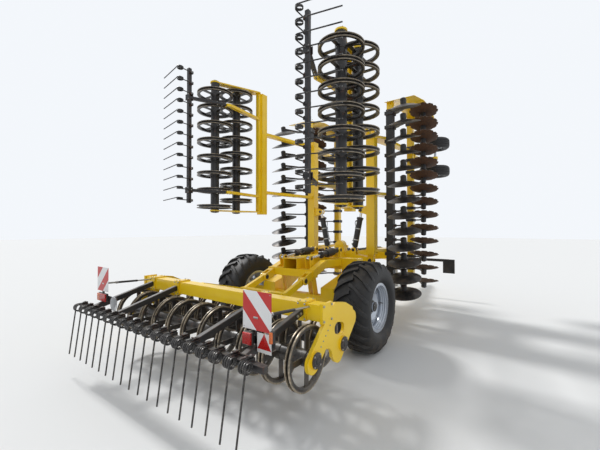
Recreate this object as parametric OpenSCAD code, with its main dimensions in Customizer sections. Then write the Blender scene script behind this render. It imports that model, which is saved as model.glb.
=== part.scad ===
// Trailed folding disc harrow, parked on its road wheels and drawbar jack with both wings folded up.
// Frame: +X to the right, +Y forwards, +Z up, origin on the ground under the middle of the machine.
// A wing is drawn level, as it works, and then turned up about its hinge line.

/* [Wing hinges] */
// Distance of each wing's hinge line from the centre plane
hinge_x = 600; // [560:5:680]
// Height of the hinge lines when the machine stands on its road wheels
hinge_z = 1060; // [1040:5:1100]
// Diameter of the hinge pins
hinge_pin_d = 50; // [40:1:56]

/* [Main frame] */
// Width of the central box beam
spine_w = 250; // [200:5:280]
// Height of the central box beam
spine_h = 230; // [180:5:240]
// Wall of the central box beam
spine_wall = 12; // [8:1:16]
// Gap between the folded axle beam and the underside of the central beam
spine_z = 955; // [950:1:970]
// Front end of the central box beam
spine_front_y = 3150; // [3050:10:3300]
// Rear end of the central box beam
spine_rear_y = -260; // [-320:5:-220]

/* [Road wheels] */
// Diameter of the road tyres over the lugs
tyre_d = 1180; // [1140:10:1200]
// Width of the road tyres
tyre_w = 480; // [420:10:500]
// Diameter of the rims
rim_d = 620; // [560:10:660]
// Distance between the middles of the two road tyres
track = 2160; // [2140:10:2200]
// Height of the tread lugs
lug_h = 34; // [20:1:45]
// Lugs along each shoulder of a tyre
lug_count = 20; // [14:1:24]

/* [Axle] */
// Forward distance of the axle's swing pivot from the wheel centres
axle_pivot_y = 650; // [620:5:680]
// Height of the axle's swing pivot
axle_pivot_z = 880; // [860:5:890]
// Side of the square axle beam
axle_beam = 110; // [90:5:120]
// Width of a swing arm
axle_arm_w = 210; // [160:5:212]

/* [Wing frame] */
// Distance forward of the main wing beam
main_beam_y = 1300; // [1260:5:1340]
// Side of the main wing beam
main_beam = 150; // [130:5:160]
// Outer end of the main wing beam when level
main_beam_end = 2870; // [2700:10:3000]
// Distance forward of the beam that carries the roller
roller_beam_y = 30; // [0:5:60]
// Height of the beam that carries the roller
roller_beam_z = 830; // [810:5:850]
// Side of the square beams that carry discs and roller
tool_beam = 120; // [100:5:130]
// Outer end of the beam that carries the roller
tool_beam_end = 3440; // [3400:5:3460]
// Outer end of the beam of the front disc row
front_row_end = 3410; // [3400:5:3415]
// Outer end of the beam of the rear disc row
rear_row_end = 3285; // [3260:5:3350]
// Inner end of the beam that carries the roller
roller_beam_start = 1400; // [1390:5:1420]

/* [Discs] */
// Diameter of the discs
disc_d = 520; // [480:10:540]
// Thickness of the discs
disc_t = 6; // [5:0.5:8]
// Depth of the dish of a disc
disc_dish = 55; // [40:1:65]
// Distance between neighbouring discs in a row
disc_pitch = 250; // [245:5:255]
// Inner end of the front row of discs
disc_first_x = 90; // [85:1:95]
// Discs in the front row of one wing
front_discs = 14; // [10:1:14]
// Discs in the rear row of one wing
rear_discs = 13; // [10:1:13]
// Angle of the discs to the direction of travel
disc_angle = 15; // [8:1:18]
// Height of the disc centres when the wing is level
disc_z = 425; // [415:5:440]
// Distance forward of the rear row of discs
rear_row_y = 1120; // [1100:5:1140]
// Distance forward of the beam of the rear row
rear_row_beam_y = 1550; // [1540:5:1580]
// Distance forward of the front row of discs
front_row_y = 2330; // [2300:5:2360]
// Distance forward of the beam of the front row
front_row_beam_y = 2760; // [2740:5:2780]
// Height of the beams of the two disc rows
disc_beam_z = 790; // [780:5:800]
// Notches round each disc of the front row
notch_count = 12; // [8:1:14]

/* [Rollers] */
// Diameter of the roller rings
ring_d = 540; // [500:10:560]
// Width of a roller ring
ring_w = 46; // [36:1:52]
// Depth of a ring's channel section
ring_depth = 44; // [34:1:50]
// Diameter of the roller tubes
roller_tube_d = 130; // [110:5:150]
// Height of the roller axles
roller_z = 550; // [540:5:560]
// Distance between rings on a wing roller
wing_ring_pitch = 250; // [240:5:255]
// Rings on each wing roller
wing_rings = 8; // [6:1:8]
// Distance between rings on the centre roller
centre_ring_pitch = 270; // [260:5:275]
// Rings on the rear centre roller, one more than on the front one
centre_rings = 11; // [7:2:11]
// Distance forward of the front wing roller
wing_roller_front_y = -300; // [-310:5:-290]
// Distance forward of the rear wing roller
wing_roller_rear_y = -745; // [-760:5:-740]
// Distance forward of the front centre roller
centre_roller_front_y = -1330; // [-1340:5:-1320]
// Distance forward of the rear centre roller
centre_roller_rear_y = -1800; // [-1820:5:-1790]

/* [Rear carrier] */
// Height of the pivots that carry the centre roller
carrier_pivot_z = 905; // [880:5:920]
// Distance of the carrier's arms from the centre plane
carrier_x = 350; // [346:1:354]
// Side of the carrier's main beam
carrier_beam = 140; // [110:5:150]
// Side of the tube that joins the arms at their knees
knee_tube = 100; // [70:5:110]
// Thickness of the end brackets
bracket_t = 30; // [20:1:36]

/* [Tine harrows] */
// Diameter of the tine rods
tine_d = 14; // [10:1:16]
// Distance between neighbouring tines
tine_pitch = 150; // [140:5:160]
// Height of a tine from its bar to its tip
tine_drop = 490; // [420:5:500]
// Distance that a tine's tip trails behind its bar
tine_rake = 160; // [100:5:200]
// Outer diameter of the coil at the top of a tine
coil_d = 75; // [60:1:80]
// Width of a tine's coil
coil_w = 56; // [40:1:64]
// Side of the harrow bars
harrow_bar = 60; // [50:1:70]
// Tines on the centre harrow
centre_tines = 19; // [13:2:19]
// Tines on each wing harrow
wing_tines = 13; // [9:1:13]
// Distance forward of the centre harrow's bar
centre_harrow_y = -2420; // [-2440:5:-2400]
// Height of the centre harrow's bar
centre_harrow_z = 700; // [690:5:720]
// Distance forward of the wing harrow's bar
wing_harrow_y = -1280; // [-1300:5:-1260]
// Height of the wing harrow's bar
wing_harrow_z = 650; // [640:5:680]

/* [Drawbar and jack] */
// Distance forward of the middle of the tow eye
tow_eye_y = 5700; // [5400:10:5900]
// Height of the tow eye
tow_eye_z = 640; // [560:10:700]
// Bore of the tow eye
tow_eye_d = 51; // [48:1:56]
// Thickness of the tow eye
tow_eye_t = 34; // [30:1:40]
// Distance forward of the jack
jack_y = 4900; // [4700:10:5000]
// Side of the jack's inner leg
jack_leg = 70; // [60:1:80]

/* [Support wheels] */
// Diameter of the small support tyres
support_d = 580; // [520:10:580]
// Width of the small support tyres
support_w = 190; // [150:5:220]
// Distance between the middles of the two support tyres of a wing
support_gap = 600; // [560:10:640]
// Distance forward of the support wheels
support_y = 3420; // [3400:10:3460]

/* [Boards and lamps] */
// Side of the square warning boards
board_w = 282; // [240:1:282]
// Distance of the boards' middles from the centre plane
board_x = 1245; // [1235:1:1255]
// Distance forward of the boards
board_y = -2280; // [-2300:5:-2260]
// Height of the boards' lower edge
board_z = 880; // [860:5:920]
// Distance forward of the front marker bars
marker_y = 4000; // [3900:10:4100]
// Distance of the front marker plates from the centre plane
marker_x = 1372; // [1300:4:1372]

/* [Hidden] */
$fn = 64;
eps = 0.01;
// Radial clearance of a pin in its bore
running_fit = 0.08;
// Side gap between parts that turn past each other
side_gap = 6;
// Gap of a piece that is seated on its neighbour
seat_fit = 0.3;
spine_top = spine_z + spine_h;
axle_z = tyre_d / 2;
wheel_x = track / 2;
lug_eye_w = 60;
ear_t = 25;
disc_r = disc_d / 2;
roller_tube_r = roller_tube_d / 2;
ring_r = ring_d / 2;
rear_disc_first_x = disc_first_x + disc_pitch / 2;
wing_roller_start = 1455;
wing_roller_end = 3425;
tie_x = [for (k = [6, 10]) rear_disc_first_x + (k + 0.25) * disc_pitch];
inner_tie_x = rear_disc_first_x + 2.25 * disc_pitch;
row_start = 40;
rear_end_y = centre_harrow_y - tine_rake - tine_d / 2;
tow_eye_r = tow_eye_d;
front_end_y = tow_eye_y + tow_eye_r;
mid_y = (rear_end_y + front_end_y) / 2;
cylinder_pin = [280, 1235];
cylinder_eye = [1490, 1235];
cylinder_len = norm([hinge_x - (cylinder_eye[1] - hinge_z) - cylinder_pin[0],
    hinge_z + cylinder_eye[0] - hinge_x - cylinder_pin[1]]);
cylinder_tilt = atan2(hinge_z + cylinder_eye[0] - hinge_x - cylinder_pin[1],
    hinge_x - (cylinder_eye[1] - hinge_z) - cylinder_pin[0]);

yellow = "gold";
black = "dimgray";

// Moves what is placed from the axle to the frame's own origin.
module placed() {
    translate([0, -mid_y, 0]) children();
}

// Turns a part of the right wing from its working place to its folded one, or to the left wing's.
module on_wing(side) {
    placed()
        mirror([side < 0 ? 1 : 0, 0, 0])
            translate([hinge_x, 0, hinge_z])
                rotate([0, -90, 0])
                    translate([-hinge_x, 0, -hinge_z])
                        children();
}

// Round bar from one point to another.
module rod(p, q, r) {
    v = q - p;
    translate(p)
        rotate([0, acos(v[2] / norm(v)), atan2(v[1], v[0])])
            cylinder(h = norm(v), r = r);
}

// Corners of a flat bar of width w from one point of a plane to another.
function bar_outline(p, q, w) =
    let (u = (q - p) / norm(q - p), n = [-u[1], u[0]] * w / 2)
    [p - n, q - n, q + n, p + n];

// Flat link from one point of a plane to another, round at both ends.
module link(p, q, w) {
    polygon(bar_outline(p, q, w));
    for (e = [p, q])
        translate(e) circle(w / 2);
}

// Corners of such a bar cut off upright at both ends.
function end_bar(p, q, w) =
    [p + [0, -w / 2], q + [0, -w / 2], q + [0, w / 2], p + [0, w / 2]];

// Plate standing fore and aft: outline in Y and Z, thickness t about x.
module fore_aft(x, t) {
    translate([x - t / 2, 0, 0])
        rotate([90, 0, 90])
            linear_extrude(t)
                children();
}

// Plate standing across: outline in X and Z, thickness t about y.
module across(y, t) {
    translate([0, y + t / 2, 0])
        rotate([90, 0, 0])
            linear_extrude(t)
                children();
}

// Square tube along X from x0 to x1, centred on y and z.
module x_beam(x0, x1, y, z, side) {
    translate([x0, y - side / 2, z - side / 2])
        cube([x1 - x0, side, side]);
}

module x_cylinder(x0, x1, y, z, r) {
    translate([x0, y, z])
        rotate([0, 90, 0])
            cylinder(h = x1 - x0, r = r);
}

module y_cylinder(y0, y1, x, z, r) {
    translate([x, y1, z])
        rotate([90, 0, 0])
            cylinder(h = y1 - y0, r = r);
}

// Pair of ears along Y with their pin, on the hinge line of the right-hand side.
hinge_ear_w = 60;
hinge_ear_gap = lug_eye_w + 2 * side_gap;
hinge_ys = [main_beam_y, front_row_beam_y - 80];

module hinge_ears(y) {
    for (s = [-1, 1])
        across(y + s * (hinge_ear_gap + ear_t) / 2, ear_t)
            union() {
                translate([hinge_x, hinge_z]) circle(hinge_ear_w);
                polygon([[spine_w / 2, spine_z], [hinge_x, hinge_z - hinge_ear_w],
                    [hinge_x, hinge_z + hinge_ear_w], [spine_w / 2, spine_top]]);
            }
    across(y, hinge_ear_gap + ear_t)
        polygon([[spine_w / 2, spine_z + spine_wall], [hinge_x - hinge_ear_w - side_gap, hinge_z - 40],
            [hinge_x - hinge_ear_w - side_gap, hinge_z + 40], [spine_w / 2, spine_top - spine_wall]]);
    y_cylinder(y - hinge_ear_gap / 2 - ear_t, y + hinge_ear_gap / 2 + ear_t,
        hinge_x, hinge_z, hinge_pin_d / 2);
}

module chassis_frame() {
    color(yellow)
        placed()
            difference() {
                union() {
                    translate([-spine_w / 2, spine_rear_y, spine_z])
                        cube([spine_w, spine_front_y - spine_rear_y, spine_h]);
                    for (m = [0, 1])
                        mirror([m, 0, 0]) {
                            for (y = hinge_ys)
                                hinge_ears(y);
                            axle_hangers();
                            fold_ears();
                            lift_ears();
                            rear_rail();
                        }
                    fold_tower();
                }
                translate([-spine_w / 2 + spine_wall, spine_rear_y - eps, spine_z + spine_wall])
                    cube([spine_w - 2 * spine_wall, spine_front_y - spine_rear_y + 2 * eps,
                        spine_h - 2 * spine_wall]);
            }
}

// Cross box of the frame with the ears that hold the axle's swing arms.
arm_x = 430;
axle_pin_r = 30;
hanger_r = 65;
hanger_half = arm_x + axle_arm_w + side_gap + ear_t;
cross_y = [axle_pivot_y - hanger_r, axle_pivot_y + 150];
cross_z = [axle_pivot_z + 85, axle_pivot_z + 260];
module axle_hangers() {
    for (x = [arm_x - side_gap - ear_t / 2, hanger_half - ear_t / 2])
        fore_aft(x, ear_t)
            union() {
                translate([axle_pivot_y, axle_pivot_z]) circle(hanger_r);
                polygon([[axle_pivot_y - hanger_r, axle_pivot_z], [axle_pivot_y + hanger_r, axle_pivot_z],
                    [cross_y[1] - 20, cross_z[0] + 20], [cross_y[0], cross_z[0] + 20]]);
            }
    x_cylinder(arm_x - side_gap - ear_t, hanger_half, axle_pivot_y, axle_pivot_z, axle_pin_r);
    translate([-eps, cross_y[0], cross_z[0]])
        cube([hanger_half + eps, cross_y[1] - cross_y[0], cross_z[1] - cross_z[0]]);
}

fold_ear_gap = 60;
fold_pin_r = 20;
module fold_ears() {
    for (s = [-1, 1])
        across(main_beam_y + s * (fold_ear_gap + ear_t) / 2, ear_t)
            union() {
                translate(cylinder_pin) circle(ear_r);
                polygon([[spine_w / 2 - 30, spine_z + 40], [cylinder_pin[0] + 48, spine_top - 60],
                    [cylinder_pin[0] + 48, cylinder_pin[1]], [cylinder_pin[0] - 48, cylinder_pin[1]],
                    [spine_w / 2 - 30, spine_top]]);
            }
    y_cylinder(main_beam_y - fold_ear_gap / 2 - ear_t, main_beam_y + fold_ear_gap / 2 + ear_t,
        cylinder_pin[0], cylinder_pin[1], fold_pin_r);
}

lift_x = 240;
lift_pin = [760, 1260];
lift_eye = [-120, 1180];
lift_pin_r = 20;
lift_gap = 60;
module lift_ears() {
    for (s = [-1, 1])
        fore_aft(lift_x + s * (lift_gap + ear_t) / 2, ear_t)
            union() {
                translate(lift_pin) circle(ear_r);
                polygon([[lift_pin[0] - ear_r, lift_pin[1]], [lift_pin[0] - 35, cross_z[1] - 20],
                    [cross_y[1], cross_z[1] - 20], [lift_pin[0] + ear_r, lift_pin[1]]]);
            }
    x_cylinder(lift_x - lift_gap / 2 - ear_t, lift_x + lift_gap / 2 + ear_t,
        lift_pin[0], lift_pin[1], lift_pin_r);
}

// Tower between the fold cylinders, with a round head.
tower_r = 92;
tower_z = spine_top + 125;
module fold_tower() {
    across(main_beam_y, 2 * fold_ear_gap)
        union() {
            translate([0, tower_z]) circle(tower_r);
            polygon([[-spine_w / 2, spine_top - spine_wall], [spine_w / 2, spine_top - spine_wall],
                [tower_r - 4, tower_z - 20], [4 - tower_r, tower_z - 20]]);
        }
}

// Rail that reaches back from the cross box, with a fork for the carrier's arm.
carrier_pivot = [-430, carrier_pivot_z];
carrier_eye_w = 50;
carrier_eye_r = 50;
carrier_pin_r = 25;
fork_t = 20;
fork_free = 118;
rail_h = 110;
rail_w = carrier_eye_w + 2 * side_gap + 2 * fork_t;
rail_start = [cross_y[0] + 60, cross_z[1] - 65];
rail_bend = [100, 1090];
rail_dir = (rail_bend - carrier_pivot) / norm(rail_bend - carrier_pivot);
rail_stop = carrier_pivot + fork_free * rail_dir;
rail_tube_y = spine_rear_y + 45;
module rear_rail() {
    fore_aft(carrier_x, rail_w)
        union() {
            link(rail_start, rail_bend, rail_h);
            polygon(bar_outline(rail_bend, rail_stop, rail_h));
        }
    for (s = [-1, 1])
        fore_aft(carrier_x + s * (rail_w - fork_t) / 2, fork_t)
            link(rail_stop, carrier_pivot, rail_h);
    x_cylinder(carrier_x - rail_w / 2, carrier_x + rail_w / 2,
        carrier_pivot[0], carrier_pivot[1], carrier_pin_r);
    x_beam(-eps, carrier_x + rail_w / 2 + 15, rail_tube_y,
        carrier_pivot[1] + rail_dir[1] / rail_dir[0] * (rail_tube_y - carrier_pivot[0]), rail_h);
}

drawbar_w = 200;
module drawbar() {
    color(yellow)
        placed()
            fore_aft(0, drawbar_w)
                polygon([[spine_front_y, spine_z], [tow_eye_y - 330, tow_eye_z - 60],
                    [tow_eye_y - 200, tow_eye_z - 60], [tow_eye_y - 200, tow_eye_z + 60],
                    [tow_eye_y - 330, tow_eye_z + 60], [spine_front_y, spine_top]]);
}

module tow_eye() {
    color("gray")
        placed()
            difference() {
                union() {
                    translate([0, tow_eye_y, tow_eye_z - tow_eye_t / 2])
                        cylinder(h = tow_eye_t, r = tow_eye_r);
                    translate([-32, tow_eye_y - 175, tow_eye_z - tow_eye_t / 2])
                        cube([64, 150, tow_eye_t]);
                    translate([-90, tow_eye_y - 200, tow_eye_z - 60])
                        cube([180, 30, 120]);
                }
                translate([0, tow_eye_y, tow_eye_z - tow_eye_t])
                    cylinder(h = 2 * tow_eye_t, r = tow_eye_d / 2);
            }
}

jack_x = -drawbar_w / 2 - 70;
jack_wall = 8;
jack_fit = 0.3;
jack_foot_t = 16;
function drawbar_mid_z(y) = let (t = (y - spine_front_y) / (tow_eye_y - 330 - spine_front_y))
    (spine_z + spine_h / 2) * (1 - t) + tow_eye_z * t;
module jack_sleeve() {
    outer = jack_leg + 2 * jack_wall;
    z0 = drawbar_mid_z(jack_y) - 160;
    color(black)
        placed()
            difference() {
                union() {
                    translate([jack_x - outer / 2, jack_y - outer / 2, z0])
                        cube([outer, outer, 520]);
                    translate([jack_x, jack_y - 40, drawbar_mid_z(jack_y) - 40])
                        cube([-drawbar_w / 2 - jack_x, 80, 80]);
                }
                translate([jack_x - jack_leg / 2 - jack_fit, jack_y - jack_leg / 2 - jack_fit, z0 - eps])
                    cube([jack_leg + 2 * jack_fit, jack_leg + 2 * jack_fit, 520 - 20]);
            }
}

module jack_leg() {
    z0 = drawbar_mid_z(jack_y) - 160;
    color("silver")
        placed() {
            translate([jack_x - jack_leg / 2, jack_y - jack_leg / 2, jack_foot_t - eps])
                cube([jack_leg, jack_leg, z0 + 110 - jack_foot_t]);
            translate([jack_x - 100, jack_y - 100, 0])
                cube([200, 200, jack_foot_t]);
        }
}

// Marker plate at the front on a bar that is bolted to the drawbar's side.
marker_bar = 60;
marker_plate = [250, 320];
marker_flange = 12;
module front_markers() {
    z = drawbar_mid_z(marker_y) - 25;
    x0 = drawbar_w / 2 + seat_fit;
    color(yellow)
        placed()
            for (m = [0, 1])
                mirror([m, 0, 0]) {
                    x_beam(x0, marker_x, marker_y, z, marker_bar);
                    translate([x0, marker_y - marker_bar, z - marker_bar])
                        cube([marker_flange, 2 * marker_bar, 2 * marker_bar]);
                    translate([marker_x - marker_plate[0] / 2, marker_y - marker_bar / 2 - marker_flange / 2,
                        z + marker_bar / 2 - marker_plate[1]])
                        cube([marker_plate[0], marker_flange, marker_plate[1]]);
                }
}

axle_stub_r = 45;
hub_inner_x = wheel_x - 150;
stub_tube_r = 75;
flange_t = 28;
lever_t = 16;
module axle() {
    color(yellow)
        placed() {
            difference() {
                union() {
                    x_beam(-arm_x - eps, arm_x + eps, 0, axle_z, axle_beam);
                    for (m = [0, 1])
                        mirror([m, 0, 0]) {
                            fore_aft(arm_x + axle_arm_w / 2, axle_arm_w)
                                swing_arm_outline();
                            fore_aft(arm_x + axle_arm_w + flange_t / 2, flange_t)
                                link([0, axle_z], [0, axle_z + axle_beam], axle_arm_w);
                            x_cylinder(arm_x + axle_arm_w, hub_inner_x + 4, 0, axle_z, stub_tube_r);
                            x_cylinder(hub_inner_x, wheel_x + 54, 0, axle_z, axle_stub_r);
                        }
                }
                for (m = [0, 1])
                    mirror([m, 0, 0])
                        x_cylinder(arm_x - eps, arm_x + axle_arm_w + eps, axle_pivot_y, axle_pivot_z,
                            axle_pin_r + running_fit);
            }
            lift_levers();
        }
}

// Side view of a swing arm, a box that narrows from the axle to its pivot.
module swing_arm_outline() {
    translate([axle_pivot_y, axle_pivot_z]) circle(62);
    polygon([[-105, axle_z - 60], [90, axle_z - 60], [axle_pivot_y + 30, axle_pivot_z - 55],
        [axle_pivot_y - 20, axle_pivot_z + 58], [-105, axle_z + 180]]);
}

// Levers that stand on the axle beam, one on each side of a rod's eye.
module lift_levers() {
    for (m = [-1, 1], s = [-1, 1])
        fore_aft(m * (lift_x + s * (lift_gap + lever_t) / 2), lever_t)
            union() {
                translate(lift_eye) circle(42);
                polygon([[-axle_beam / 2, axle_z + axle_beam / 2 + seat_fit],
                    [axle_beam / 2, axle_z + axle_beam / 2 + seat_fit],
                    [lift_eye[0] + 42, lift_eye[1]], [lift_eye[0] - 42, lift_eye[1]]]);
            }
}

// One rim with its hub, turned about the wheel's axle; x runs outwards.
rim_flange = 18;
rim_seat = 16;
rim_t = 10;
rim_half_w = 190;
module rim_shape() {
    difference() {
        rotate([0, 90, 0])
            rotate_extrude()
                union() {
                    polygon([[rim_d / 2 - 26, -rim_half_w], [rim_d / 2 + rim_flange, -rim_half_w],
                        [rim_d / 2 + rim_flange, -rim_half_w + rim_t], [rim_d / 2 - rim_seat, -rim_half_w + rim_t],
                        [rim_d / 2 - rim_seat, rim_half_w - rim_t], [rim_d / 2 + rim_flange, rim_half_w - rim_t],
                        [rim_d / 2 + rim_flange, rim_half_w], [rim_d / 2 - 26, rim_half_w]]);
                    polygon([[80, 40], [130, 40], [170, 75], [rim_d / 2 - 20, 60],
                        [rim_d / 2 - 20, 74], [180, 92], [130, 56], [80, 56]]);
                    polygon([[0, 60], [75, 60], [60, 130], [0, 130]]);
                    polygon([[axle_stub_r + running_fit, -140], [85, -140], [85, 61],
                        [axle_stub_r + running_fit, 61]]);
                }
        for (a = [0 : 45 : 315])
            rotate([a, 0, 0])
                translate([30, 230, 0])
                    rotate([0, 90, 0])
                        cylinder(h = 80, r = 26);
    }
}

module rim(side) {
    color("silver")
        placed()
            mirror([side < 0 ? 1 : 0, 0, 0])
                translate([wheel_x, 0, axle_z])
                    rim_shape();
}

// Closed ring with flat facets: profile as radius and place along X, steps round it.
module faceted_ring(profile, steps) {
    n = len(profile);
    points = [for (i = [0 : steps - 1], p = profile)
        [p[1], p[0] * cos(i * 360 / steps), p[0] * sin(i * 360 / steps)]];
    faces = [for (i = [0 : steps - 1], j = [0 : n - 1])
        let (a = i * n, b = (i + 1) % steps * n, k = (j + 1) % n)
        [a + j, a + k, b + k, b + j]];
    polyhedron(points, faces);
}

module tyre_shape() {
    half = tyre_w / 2;
    body_r = tyre_d / 2 - lug_h;
    bead_r = (rim_d / 2 - rim_seat + 2 * seat_fit) / cos(180 / tyre_steps);
    bead_x = rim_half_w - rim_t - 2;
    faceted_ring([[bead_r, -bead_x], [rim_d / 2 + rim_flange + 12, -bead_x], [rim_d / 2 + 90, -half],
        [body_r - 80, -half], [body_r, -half + 90], [body_r, half - 90], [body_r - 80, half],
        [rim_d / 2 + 90, half], [rim_d / 2 + rim_flange + 12, bead_x], [bead_r, bead_x]], tyre_steps);
}

// Lugs of a road tyre, which alternate on both shoulders and fall off to the side walls.
tyre_steps = 40;
lug_t = 44;
lug_skew = 28;
module tyre_lugs() {
    half = tyre_w / 2;
    low = tyre_d / 2 - 3 * lug_h;
    high = sqrt(pow(tyre_d / 2, 2) - pow(half / 2 * sin(lug_skew) + lug_t / 2, 2));
    for (s = [-1, 1], i = [0 : lug_count - 1])
        rotate([(i + (s < 0 ? 0.5 : 0)) * 360 / lug_count, 0, 0])
            translate([s * half / 2, 0, 0])
                rotate([0, 0, s * lug_skew])
                    mirror([s < 0 ? 1 : 0, 0, 0])
                        across(0, lug_t)
                            polygon([[-half / 2, low + lug_h], [-half / 2, high], [half / 2 - 40, high],
                                [half / 2 + 8, high - 70], [half / 2 + 8, low]]);
}

module tyre(side) {
    color(black)
        placed()
            mirror([side < 0 ? 1 : 0, 0, 0])
                translate([wheel_x, 0, axle_z]) {
                    tyre_shape();
                    tyre_lugs();
                }
}

// Hydraulic cylinder along +Z from its pin eye; the rod comes out at the top.
ear_r = 48;
module barrel(r, body_len, eye_r, eye_w, pin_r) {
    neck = ear_r + 8;
    difference() {
        union() {
            rotate([90, 0, 0]) cylinder(h = eye_w, r = eye_r, center = true);
            translate([0, 0, 0.7 * eye_r]) cylinder(h = neck, r = eye_w / 2 - 2);
            translate([0, 0, neck]) cylinder(h = body_len - neck, r = r);
            translate([0, 0, body_len - 40]) cylinder(h = 40, r = r + 8);
        }
        rotate([90, 0, 0]) cylinder(h = 2 * eye_w, r = pin_r + running_fit, center = true);
        translate([0, 0, neck + 20]) cylinder(h = body_len, r = 0.45 * r + 0.3);
    }
}

module piston_rod(r, start, total, eye_r, eye_w, pin_r) {
    translate([0, 0, start]) cylinder(h = total - start - eye_r + 8, r = 0.45 * r);
    translate([0, 0, total])
        rotate([90, 0, 0]) {
            cylinder(h = eye_w, r = eye_r, center = true);
            cylinder(h = eye_w + 8, r = pin_r, center = true);
        }
}

lift_vec = lift_eye - lift_pin;
lift_len = norm(lift_vec);
lift_tilt = atan2(lift_vec[1], lift_vec[0]);
module lift_frame() {
    placed()
        for (s = [-1, 1])
            translate([s * lift_x, lift_pin[0], lift_pin[1]])
                rotate([lift_tilt - 90, 0, 0])
                    rotate([0, 0, 90])
                        children();
}

module lift_barrels() {
    color(black) lift_frame() barrel(42, 560, 40, 48, lift_pin_r);
}

module lift_rods() {
    color("silver") lift_frame() piston_rod(42, 235, lift_len, 36, 40, 16);
}

module fold_frame(side) {
    placed()
        mirror([side < 0 ? 1 : 0, 0, 0])
            translate([cylinder_pin[0], main_beam_y, cylinder_pin[1]])
                rotate([0, 90 - cylinder_tilt, 0])
                    children();
}

module fold_barrel(side) {
    color(black) fold_frame(side) barrel(50, 600, 44, 48, fold_pin_r);
}

module fold_rod(side) {
    color("silver") fold_frame(side) piston_rod(50, 90, cylinder_len, 38, 40, 18);
}

// Roller along X: a tube that carries rings of channel section, each on flat spokes and a collar.
collar_t = 7;
spoke_t = 12;
spoke_w = 50;
spokes = 4;
module ring() {
    difference() {
        union() {
            rotate([0, 90, 0])
                translate([0, 0, -ring_w / 2])
                    rotate_extrude($fn = 96)
                        polygon([[ring_r - ring_depth, 10], [ring_r - ring_depth + 10, 0], [ring_r, 0],
                            [ring_r, 9], [ring_r - ring_depth + 12, 9], [ring_r - ring_depth + 10, 12],
                            [ring_r - ring_depth + 10, ring_w - 12], [ring_r - ring_depth + 12, ring_w - 9],
                            [ring_r, ring_w - 9], [ring_r, ring_w], [ring_r - ring_depth + 10, ring_w],
                            [ring_r - ring_depth, ring_w - 10]]);
            x_cylinder(-ring_w / 2, ring_w / 2, 0, 0, roller_tube_r + collar_t);
            for (i = [0 : spokes - 1])
                rotate([i * 360 / spokes, 0, 0])
                    translate([-spoke_t / 2, -spoke_w / 2, roller_tube_r + 1])
                        cube([spoke_t, spoke_w, ring_r - ring_depth - roller_tube_r + 5]);
        }
        x_cylinder(-ring_w, ring_w, 0, 0, roller_tube_r + seat_fit);
    }
}

journal_r = 30;
module roller(x0, x1, ring_xs, y, journal) {
    x_cylinder(x0, x1, y, roller_z, roller_tube_r);
    x_cylinder(x0 - journal, x1 + journal, y, roller_z, journal_r);
    for (x = ring_xs)
        translate([x, y, roller_z])
            ring();
}

centre_half = (centre_rings - 1) / 2 * centre_ring_pitch + ring_w / 2 + 27;
function centre_ring_xs(n) = [for (i = [0 : n - 1]) (i - (n - 1) / 2) * centre_ring_pitch];
module centre_roller_front() {
    color(black) placed()
        roller(-centre_half, centre_half, centre_ring_xs(centre_rings - 1), centre_roller_front_y,
            side_gap + bracket_t);
}

module centre_roller_rear() {
    color(black) placed()
        roller(-centre_half, centre_half, centre_ring_xs(centre_rings), centre_roller_rear_y,
            side_gap + bracket_t);
}

function wing_ring_xs(first) = [for (i = [0 : wing_rings - 1]) first + i * wing_ring_pitch];
module wing_roller_rear(side) {
    color(black) on_wing(side)
        roller(wing_roller_start, wing_roller_end, wing_ring_xs(wing_roller_start + 45), wing_roller_rear_y,
            side_gap + plate_t);
}

module wing_roller_front(side) {
    color(black) on_wing(side)
        roller(wing_roller_start, wing_roller_end,
            wing_ring_xs(wing_roller_start + 45 + wing_ring_pitch / 2), wing_roller_front_y,
            side_gap + plate_t);
}

// Side plate that carries the bearings of a pair of rollers.
plate_t = 20;
module bearing_plate(x, y_front, y_rear, y_top, z_top) {
    difference() {
        fore_aft(x, plate_t)
            union() {
                link([y_front, roller_z], [y_top, z_top], 110);
                link([y_rear, roller_z], [y_top, z_top], 110);
                link([y_rear + 0.3 * (y_top - y_rear), roller_z + 0.3 * (z_top - roller_z)],
                    [y_front + 0.3 * (y_top - y_front), roller_z + 0.3 * (z_top - roller_z)], 70);
                for (y = [y_front, y_rear])
                    translate([y, roller_z]) circle(75);
            }
        for (y = [y_front, y_rear])
            x_cylinder(x - plate_t, x + plate_t, y, roller_z, journal_r + running_fit);
    }
}

// Side view of a carrier end bracket in its own slanted frame, origin in the rear bearing:
// two legs, a web between them with a slot, an arch under the web and a round top.
bracket_turn = 43;
module end_bracket_outline() {
    gap = (centre_roller_front_y - centre_roller_rear_y) * [cos(bracket_turn), sin(bracket_turn)];
    difference() {
        union() {
            link([-32, 0], [420, 0], 175);
            link([gap[0] - 104, gap[1]], [gap[0] + 276, gap[1]], 160);
            polygon([[156, 0], [420, -87], [520, -70], [640, 90], [700, 240], [640, gap[1] + 80], [156, gap[1]]]);
        }
        translate([105, gap[1] / 2 + 10]) circle(82);
        link([385, 135], [425, 195], 110);
    }
}

module end_bracket(x) {
    difference() {
        union() {
            fore_aft(x, bracket_t)
                translate([centre_roller_rear_y, roller_z])
                    rotate(bracket_turn)
                        mirror([0, 1])
                            end_bracket_outline();
            fore_aft(x, bracket_t)
                translate([carrier_beam_y, carrier_beam_z])
                    square(carrier_beam + 30, center = true);
            for (y = [centre_roller_front_y, centre_roller_rear_y])
                x_cylinder(x, x + bracket_t / 2 + 14, y, roller_z, 72);
        }
        for (y = [centre_roller_front_y, centre_roller_rear_y])
            x_cylinder(x - bracket_t, x + bracket_t, y, roller_z, journal_r + running_fit);
    }
}

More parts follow.
